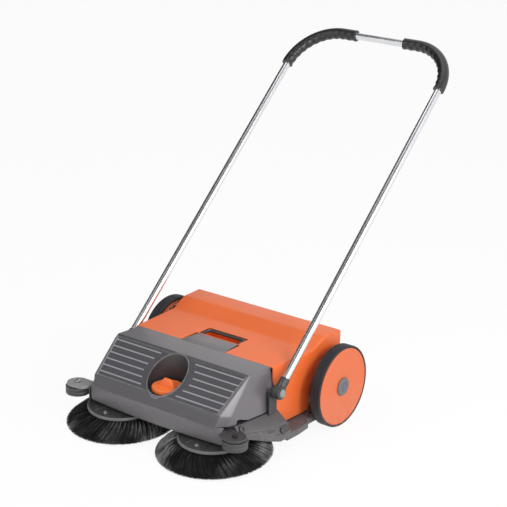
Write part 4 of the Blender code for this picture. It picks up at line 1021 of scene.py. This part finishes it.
def makeKnob(dial):
    flutes, deep = dial["flutes"], dial["fluteDeep"]
    outline = []
    for k in range(flutes * 8):
        angle = 2 * math.pi * k / (flutes * 8)
        radius = dial["radius"] - deep * (1 - math.cos(flutes * angle)) / 2
        outline.append((radius * math.cos(angle), radius * math.sin(angle)))
    plate = flatShape(outline, 0, dial["height"])
    bevelPicked(plate, lambda f: f.normal.z > 0.9, 0.0022, 4, "FACE")
    insetPicked(plate, topFace(0.001), (0.0035, 0), (0.0008, -0.001))
    x, y, z = dial["gripFoot"]
    grip = boxBlock((-x, -y, z), (x, y, dial["gripTop"]))
    openEdit(grip)
    pick(grip, topFace(0))
    bpy.ops.transform.resize(value=dial["gripTaper"])
    closeEdit()
    bevelSharp(grip, 30, 0.004, 5, above=0.006)
    knob = joinPieces(grip, plate)
    knob.location = (0, coverDial["broomY"], dial["low"])
    # the knob takes the brighter orange: painted light against the well's shade
    handIn(knob, "heightKnob", "orangeKnobPaintedLight", "height_knob", "height_knob", 35)


makeKnob(knobDial)
print("knob is made")


# bumper bar across the front, with its shelf on the deck and its rounded corners
bumperDial = {
    "half": 0.237,
    "bow": 0.012,
    "front": -0.4535,
    "columns": 48,
    "wall": 0.0028,
    # behind the front and height, down the outside of the bar
    "section": ((0.005, 0.1205), (0.0016, 0.1205), (0.0002, 0.1192), (-0.0008, 0.116), (-0.0014, 0.11),
                (-0.0014, 0.102), (-0.0008, 0.094), (0.0002, 0.086), (0.0016, 0.078), (0.003, 0.071),
                (0.0042, 0.0684), (0.0062, 0.068)),
    "shelf": ((0.003, 0.1038), (0.02, 0.1038), (0.038, 0.1038)),
    "corner": (0.283, -0.447, 0.0372),      # round the roller's middle
}


def bowedGrid(dial, section, columns):
    # the section drawn across the sweeper, bowed forwards in the middle
    return reshapedGrid([[(share * dial["half"], dial["front"] + back + dial["bow"] * share ** 2, z)
                          for share in (2 * k / columns - 1 for k in range(columns + 1))] for back, z in section])


def makeBumper(dial):
    bar = soften(thicken(bowedGrid(dial, dial["section"][::-1], dial["columns"]), dial["wall"], -1), 0.0005, 1, 60)
    pieces = [thicken(bowedGrid(dial, dial["shelf"], 8), 0.004, 1, False)]
    x, y, radius = dial["corner"]
    for side in (1, -1):         # the corner goes round behind the guide roller
        outer = arc(side * x, y, radius, 90 + side * 82, -side * 104, 26)
        inner = arc(side * x, y, radius + 0.003, 90 - side * 22, side * 104, 26)
        pieces.append(soften(flatShape(outer + inner, 0.07, 0.106), 0.0006, 2, 60))
    handIn(joinPieces(*pieces, bar), "frontBumper", "greyChassis", "chassis", "front_bumper", 30)


makeBumper(bumperDial)
print("bumper is made")


# guide rollers on their arms at the front corners
rollerDial = {
    "place": (0.283, -0.447),
    "radius": 0.035,
    "low": 0.081,
    "height": 0.025,
    "armLow": 0.1081,
    "armThick": 0.006,
    "armNose": 0.031,
    # the arm's corners from the roller's middle, before and after its round nose
    "armInner": ((-0.078, 0.0335), (-0.078, 0.014), (-0.0445, 0.008), (-0.0425, -0.014), (-0.034, -0.024)),
    "armOuter": ((-0.0445, 0.031),),
    "bolt": 0.0078,
    "boltHead": 0.0045,
}


def makeRollers(dial):
    (x, y), low = dial["place"], dial["armLow"]
    high = low + dial["armThick"]
    inner, outer = ([(x + across, y + along) for across, along in dial[part]] for part in ("armInner", "armOuter"))
    arm = flatShape(inner + arc(x, y, dial["armNose"], -112, 197, 36) + outer, low, high)
    bevelSharp(arm, 60, 0.0012, above=high - 0.0001)
    insetPicked(arm, topFace(0.001), (0.0022, 0), (0.0006, -0.0012))
    # the right arm is painted dark and the left one light: painted shade and painted light on one moulding
    handInPair(arm, "rollerArm", "darkMoulding", "chassis", "roller_bracket", 35, leftPaintedLight="lightMoulding")
    radius, height, base = dial["radius"], dial["height"], dial["low"]
    lower = [(0.0046, 0.0004), (0.012, 0.0004), (0.0135, 0.002), (radius - 0.0085, 0.002), (radius - 0.007, 0.0002),
             (radius - 0.003, 0), (radius - 0.0008, 0.0008), (radius, 0.003), (radius, height * 0.5 - 0.0012)]
    roller = turnOnLathe(lower + [(radius - 0.0007, height * 0.5)] + mirrored(lower, height), 64, "Z", (x, y, base))
    handInPair(roller, "guideRoller", "rollerGrey", "guide_roller", "guide_roller")
    shank = barrel(0.004, base - 0.003, high + 0.002, (x, y, 0), 24)
    head = hexHead(dial["bolt"], dial["boltHead"], (x, y, high + 0.0003))
    foot = hexHead(dial["bolt"], dial["boltHead"], (x, y, base - 0.0003), tilt=math.pi)
    # the right bolt is painted dark and the left one bright zinc: painted shade and painted light
    handInPair(joinPieces(foot, shank, head), "rollerBolt", "zincPaintedShade", "chassis", "roller_bolt",
               leftPaintedLight="zincSteel")


makeRollers(rollerDial)
print("rollers are made")


# brooms: a dished disc and three rows of curved strands
broomDial = {
    "discRadius": 0.101,
    "discHalf": 0.004,
    "bore": 0.0083,
    "spokes": 8,
    "boltRing": 0.073,
    "boltTurns": (-90, 30, 150),
    "tufts": 64,
    "strands": 26,           # in each tuft
    "rings": 5,              # in each strand
    # root and tip radius and height, and the sweep round the axis in radians
    "rows": (
        (0.0975, -0.0075, 0.163, -0.045, 0.2),
        (0.0945, -0.01, 0.159, -0.0462, 0.17),
        (0.09, -0.012, 0.15, -0.0468, 0.14),
    ),
    "thick": 0.00046,
    "rise": 0.0055,
    # section of the packed fibres, and how deep the tufts show in it
    "heart": ((0.088, -0.005), (0.1, -0.0062), (0.112, -0.0105), (0.126, -0.0185), (0.14, -0.029),
              (0.1575, -0.044), (0.154, -0.0466), (0.136, -0.033), (0.12, -0.0225), (0.104, -0.0165),
              (0.088, -0.014)),
    "heartWave": (0.0011, 0.01),
    "seed": 41,
}


def growStrands(dial):
    # each strand is a three-sided, tapering fibre that bends down towards its tip
    dice = random.Random(dial["seed"])
    corners, faces, shades = [], [], []
    rings = dial["rings"]
    for row, (rootR, rootZ, tipR, tipZ, sweep) in enumerate(dial["rows"]):
        for tuft in range(dial["tufts"]):
            heart = 2 * math.pi * (tuft + row / 3) / dial["tufts"]
            for _ in range(dial["strands"]):
                spread = dice.uniform(-1, 1)
                start = heart + 0.0024 / rootR * spread
                end = heart + sweep + math.pi / dial["tufts"] * 1.05 * spread + dice.gauss(0, 0.006)
                reach = tipR - abs(dice.gauss(0, 0.0012))
                drop = tipZ + abs(dice.gauss(0, 0.0008))
                foot = rootZ + dice.uniform(-0.0022, 0.0022)
                lift = dial["rise"] * dice.uniform(0.4, 1.1)
                shade = dice.random()
                first = len(corners)
                for ring in range(rings):
                    t = ring / (rings - 1)
                    angle = start + (end - start) * t ** 1.3
                    r = rootR + (reach - rootR) * t
                    z = foot + (drop - foot) * t ** 1.25 + lift * math.sin(math.pi * t) * 0.6
                    wide = dial["thick"] * (1 - 0.35 * t)
                    for side in range(3):
                        turn = 2 * math.pi * side / 3 + shade * 2
                        across, upward = wide * math.cos(turn), wide * math.sin(turn)
                        corners.append(((r + upward * 0.5) * math.cos(angle) - across * math.sin(angle),
                                        (r + upward * 0.5) * math.sin(angle) + across * math.cos(angle),
                                        z + upward))
                        shades.append(shade)
                for ring in range(first, first + 3 * (rings - 1), 3):
                    for one, two in ((ring, ring + 1), (ring + 1, ring + 2), (ring + 2, ring)):
                        faces.append((one, two, two + 3, one + 3))
                last = first + 3 * (rings - 1)
                faces.append((last, last + 1, last + 2))
    mesh = bpy.data.meshes.new("broomStrands")
    mesh.from_pydata(corners, [], faces)
    mesh.attributes.new("strand", "FLOAT", "POINT").data.foreach_set("value", shades)
    strands = bpy.data.objects.new("broomStrands", mesh)
    bpy.context.scene.collection.objects.link(strands)
    return strands


def makeHeart(dial):
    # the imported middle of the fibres, drawn in between the tufts, so that no light comes through
    mass = turnOnLathe(dial["heart"], dial["tufts"] * 4)
    upward, outwards = dial["heartWave"]
    for corner in mass.data.vertices:
        angle = math.atan2(corner.co.y, corner.co.x)
        outward = max(0.0, (corner.co.xy.length - 0.1) / 0.05)
        wave = math.cos(dial["tufts"] * (angle - 0.16 * outward ** 1.3))
        corner.co.z += upward * outward * wave
        corner.co.xy *= 1 + outwards * outward * wave
    mass.data.attributes.new("strand", "FLOAT", "POINT")
    return mass


def makeBrooms(dial):
    half, radius, bore = dial["discHalf"], dial["discRadius"], dial["bore"]
    disc = turnOnLathe([(bore, -half), (radius - 0.0045, -half), (radius - 0.0045, half - 0.0012),
                        (0.034, half - 0.0012), (0.03, half), (0.0215, half + 0.01), (0.02, half + 0.012),
                        (bore, half + 0.012)], 96)
    spokes = barsRound(dial["spokes"], (0.026, -0.0014, 0), (radius - 0.014, 0.0014, half + 0.0012), 0.0006, "Z",
                       first=0.5)
    handInPair(joinPieces(*spokes, disc), "broomDisc", "darkMoulding", "broom", "broom_disc", 30, atBroom)
    ring = turnOnLathe([(radius - 0.005, -half - 0.0002), (radius - 0.0006, -half - 0.0002), (radius, -half + 0.0008),
                        (radius, half - 0.0022), (radius - 0.0007, half - 0.0006), (radius - 0.0022, half + 0.0002),
                        (radius - 0.004, half - 0.0002), (radius - 0.005, half - 0.0014)], 96)
    handInPair(ring, "discEdge", "greyChassis", "broom", None, 30, atBroom)
    bolts, away = [], dial["boltRing"]
    for turn in map(math.radians, dial["boltTurns"]):
        at = (away * math.cos(turn), away * math.sin(turn), half - 0.0008)
        bolts.append(hexHead(0.0052, 0.004, at, 0.0008))
    handInPair(joinPieces(*bolts), "discBolts", "zincSteel", "broom", None, 35, atBroom)
    handInPair(makeHeart(dial), "strandHeart", "bristleFibre", "broom", None, 60, atBroom)
    handInPair(growStrands(dial), "broomStrands", "bristleFibre", "broom", "broom_bristles", 60, atBroom)


makeBrooms(broomDial)
print("brooms are made")


# the bowed handle, its foam grips, and the knuckles it folds on
handleDial = {
    "half": 0.2755,
    "length": 1.187,
    "bend": 0.14,
    "tube": 0.011,
    "foot": 0.03,
    "grip": 0.0175,
    "gripStart": 1.044,
    "gripEnd": 0.088,
    "waveDepth": 0.0024,
    "wavePitch": 0.0245,
    "knuckle": 0.019,
    "knuckleHalf": 0.0137,
    # radius and distance up the tube
    "sleeve": ((0.0113, 0.0165), (0.0136, 0.0165), (0.0138, 0.022), (0.0138, 0.04), (0.0134, 0.0432),
               (0.0126, 0.0442), (0.0113, 0.0442)),
    "pivot": (-0.2475, 0.172),       # y and z
    "earRadius": 0.015,
    "gussetLow": (-0.262, -0.238),   # y at the foot, and y and z at the top
    "gussetTop": ((-0.243, 0.15), (-0.257, 0.15)),
}


def makeHandle(dial):
    half, long, foot, bend = dial["half"], dial["length"], dial["foot"], dial["bend"]
    run = roundedRun([(half, 0, foot), (half, 0, long), (-half, 0, long), (-half, 0, foot)], bend, 24)
    handIn(bentTube(run, dial["tube"], 32), "handleTube", "chromeTube", "handle", "handle_tube", 40, atHandle)
    run = roundedRun([(half, 0, dial["gripStart"]), (half, 0, long), (dial["gripEnd"], 0, long)], bend, 72)
    last, end = run[-2], run[-1]
    run[-1:] = [last + (end - last) * k / 16 for k in range(1, 17)]
    grip = bentTube(run, dial["grip"], 32)
    heart = Vector((half - bend, 0, long - bend))
    travels = [0.0]
    for before, after in zip(run, run[1:]):
        travels.append(travels[-1] + (after - before).length)
    for corner in grip.data.vertices:            # finger waves on the inner side
        place, travel = min(zip(run, travels), key=lambda pair: (pair[0] - corner.co).length)
        away = (corner.co - place).normalized()
        deep = dial["waveDepth"] * (0.5 - 0.5 * math.cos(2 * math.pi * travel / dial["wavePitch"]))
        corner.co -= away * deep * max(0.0, away.dot((heart - place).normalized()))
    bevelPicked(grip, lambda f: len(f.verts) > 8, 0.0022, 4, "FACE")
    insetPicked(grip, lambda f: len(f.verts) > 8, (0.0032, 0), (0.0012, -0.002))
    handInPair(grip, "grip", "gripFoam", "handle", "grip", 40, atHandle)


def makeKnuckles(dial):
    x, half, knuckle, (pivotY, pivotZ) = dial["half"], dial["knuckleHalf"], dial["knuckle"], dial["pivot"]
    outer = [(0.0053, -half), (knuckle - 0.003, -half), (knuckle - 0.0008, -half + 0.0008),
             (knuckle, -half + 0.003), (knuckle, -0.002), (knuckle - 0.0006, -0.0012)]
    drum = turnOnLathe(outer + mirrored(outer), 48, "X", (x, 0, 0))
    sleeve = turnOnLathe(dial["sleeve"], 40, "Z", (x, 0, 0))
    web = softBlock((x - 0.004, -0.0165, 0.004), (x + 0.004, 0.0165, 0.028), 0.003, 3)
    handInPair(joinPieces(web, sleeve, drum), "handleSocket", "darkMoulding", "handle", "handle_socket", 35, atHandle)
    low, high = boxOf("pivot_bracket_right")
    ear = arc(pivotY, pivotZ, dial["earRadius"], 0, 180, 24)
    bracket = flatShape([(low.y + 0.0005, low.z), (high.y, low.z), *ear, (low.y, pivotZ)], low.x, high.x, "X")
    bevelPicked(bracket, lambda e: sharpEdge(e, 60) and e.verts[0].co.z > low.z + 0.001, 0.0012)
    gusset = [(y, low.z) for y in dial["gussetLow"]] + [*dial["gussetTop"]]
    bracket = joinPieces(flatShape(gusset, low.x - 0.003, low.x, "X"), bracket)
    handInPair(bracket, "pivotBracket", "darkMoulding", "chassis", "pivot_bracket", 35)
    low, high = boxOf("pivot_bolt_right")
    inner, outer, face = low.x, high.x, x + half + 0.0003
    cap = turnOnLathe([(0.0004, outer - 0.0006), (0.006, outer - 0.0008), (0.0066, outer), (0.0095, outer - 0.0004),
                       (0.0113, outer - 0.0018), (0.012, outer - 0.0034), (0.012, face), (0.005, face),
                       (0.005, inner + 0.004), (0.0078, inner + 0.004), (0.0078, inner + 0.0006),
                       (0.0066, inner), (0.0004, inner)], 48, "X", (0, pivotY, pivotZ))
    handInPair(cap, "pivotBolt", "lightMoulding", "chassis", "pivot_bolt")


makeHandle(handleDial)
makeKnuckles(handleDial)
print("handle is made")


# chassis sides: the wing over the broom and drive, with two ledges, and the rail past the wheel
sideDial = {
    "wall": 0.004,
    "deck": (0.2435, 0.0985),        # x of the deck's edge and z of its top
    # y, then x past the deck's edge and z above the deck, of the inner edge, the fold and the lower edge
    "wing": (
        (-0.408, (0.006, 0.018), (0.0165, 0.0015), (0.0185, -0.0145)),
        (-0.37, (0.0065, 0.0145), (0.0235, -0.0035), (0.0305, -0.0245)),
        (-0.32, (0.0065, 0.0105), (0.0345, -0.0115), (0.0495, -0.0425)),
        (-0.275, (0.0065, 0.0075), (0.0405, -0.0165), (0.0625, -0.0555)),
        (-0.22, (0.0065, 0.005), (0.0405, -0.0195), (0.0625, -0.0585)),
    ),
    "ledges": ((0.1, 0.0022), (0.52, 0.0018)),      # share of the way down from the fold, and how proud
    "rail": ((0.236, -0.222), (0.3035, -0.237), (0.3045, -0.18), (0.3, -0.132), (0.286, -0.121),
             (0.286, 0.065), (0.236, 0.065)),
    "railHeights": (0.03, 0.05),
    # place and outward direction of the catch, the slot and the cap
    "fittings": (
        ((0.2968, -0.244, 0.0655), (0.87, 0.03, 0.49)),
        ((0.2908, -0.293, 0.0758), (0.87, -0.07, 0.49)),
        ((0.2606, -0.39, 0.107), (0.84, -0.07, 0.54)),
    ),
}


def makeSides(dial):
    edge, deck = dial["deck"]
    rows = []
    for y, *bends in dial["wing"]:
        row = [(edge + x, y, deck + z) for x, z in bends]
        rows.append([(row[0][0] - 0.002, y, deck - 0.0035)] + row)
    wing = reshapedGrid(rows)
    bevelSharp(wing, 15, 0.0032, 4)
    soften(thicken(wing, dial["wall"], 1), 0.0007, 2, 60)
    ledges = []
    for share, proud in dial["ledges"]:
        points = []
        for y, _, fold, outer in dial["wing"]:
            x, z = (a + (b - a) * share for a, b in zip(fold, outer))
            points.append((edge + x + 0.0034, y + 0.002, deck + z + 0.0022))
        ledge = reshapedGrid([[(x, y, z), (x + 0.003 + proud, y, z - 0.0035), (x + 0.0022, y, z - 0.0065)]
                              for x, y, z in points])
        ledges.append(soften(thicken(ledge, 0.0028, -1, False), 0.0007, 2, 40))
    rail = flatShape(dial["rail"], *dial["railHeights"])
    bevelSharp(rail, 15, 0.0024)
    handInPair(joinPieces(*ledges, rail, wing), "chassisSide", "greySideAndBandShade", "chassis", "chassis_side", 35)


def longRound(radius, steps, height):
    # a low plate with two round ends
    return flatShape(arc(-0.009, 0, radius, 90, 180, steps) + arc(0.009, 0, radius, -90, 180, steps), 0, height)


def makeSideFittings(dial):
    # on the wing's outer face: the catch that holds the hopper, a drain slot and a round cap
    catch = longRound(0.01, 16, 0.0062)
    bevelSharp(catch, 60, 0.0016, above=0.006)
    insetPicked(catch, topFace(0.0001), (0.003, 0), (0.0008, -0.0016))
    slot = longRound(0.0042, 10, 0.0008)
    insetPicked(slot, topFace(0.00005), (0.0009, 0), (0.0003, -0.0006))
    cap = turnOnLathe([(0.004, 0.005), (0.005, 0.0062), (0.0085, 0.0062), (0.0102, 0.005), (0.0108, 0.003),
                       (0.0108, 0.0), (0.004, 0.0)], 40)
    plug = turnOnLathe([(0.0003, 0.0046), (0.003, 0.0044), (0.004, 0.0036), (0.004, 0.0), (0.0003, 0.0)], 32)
    placed = [standAt(piece, spot, facing((0, 0, 0), normal, "Z").to_euler())
              for piece, (spot, normal) in zip((catch, slot, joinPieces(plug, cap)), dial["fittings"])]
    handInPair(joinPieces(*placed), "sideFittings", "darkMoulding", "chassis", None, 35)


makeSides(sideDial)
makeSideFittings(sideDial)
print("chassis sides are made")


# what is left of the model's own nodes takes a finish as it is
def bothSides(*kinds):
    return [kind + side for side in ("_right", "_left") for kind in kinds]


carried = {
    "greyChassis": ["front_deck", "rear_crossbar"],
    "darkMoulding": ["hopper_tub"],
    "lightMoulding": ["caster_carriage"],
    "milkyNylon": bothSides("drive_pinion", "drive_pulley", "upper_idler", "lower_idler", "broom_pulley", "ring_gear"),
    "tyreRubber": ["caster_roller"],
    "softRubber": [*bothSides("drive_belt"), "dirt_ramp"],
    "zincSteel": ["adjuster_spindle", "caster_axle", *bothSides("idler_pin", "broom_pin")],
    # the axle brackets are painted dark to read as the shade between hopper and tyre
    "zincPaintedShade": bothSides("axle_bracket"),
}
for material, nodes in carried.items():
    for node in nodes:
        obj = frame["nodes"][node]
        paintIn(obj, material)
print("carried pieces are finished")
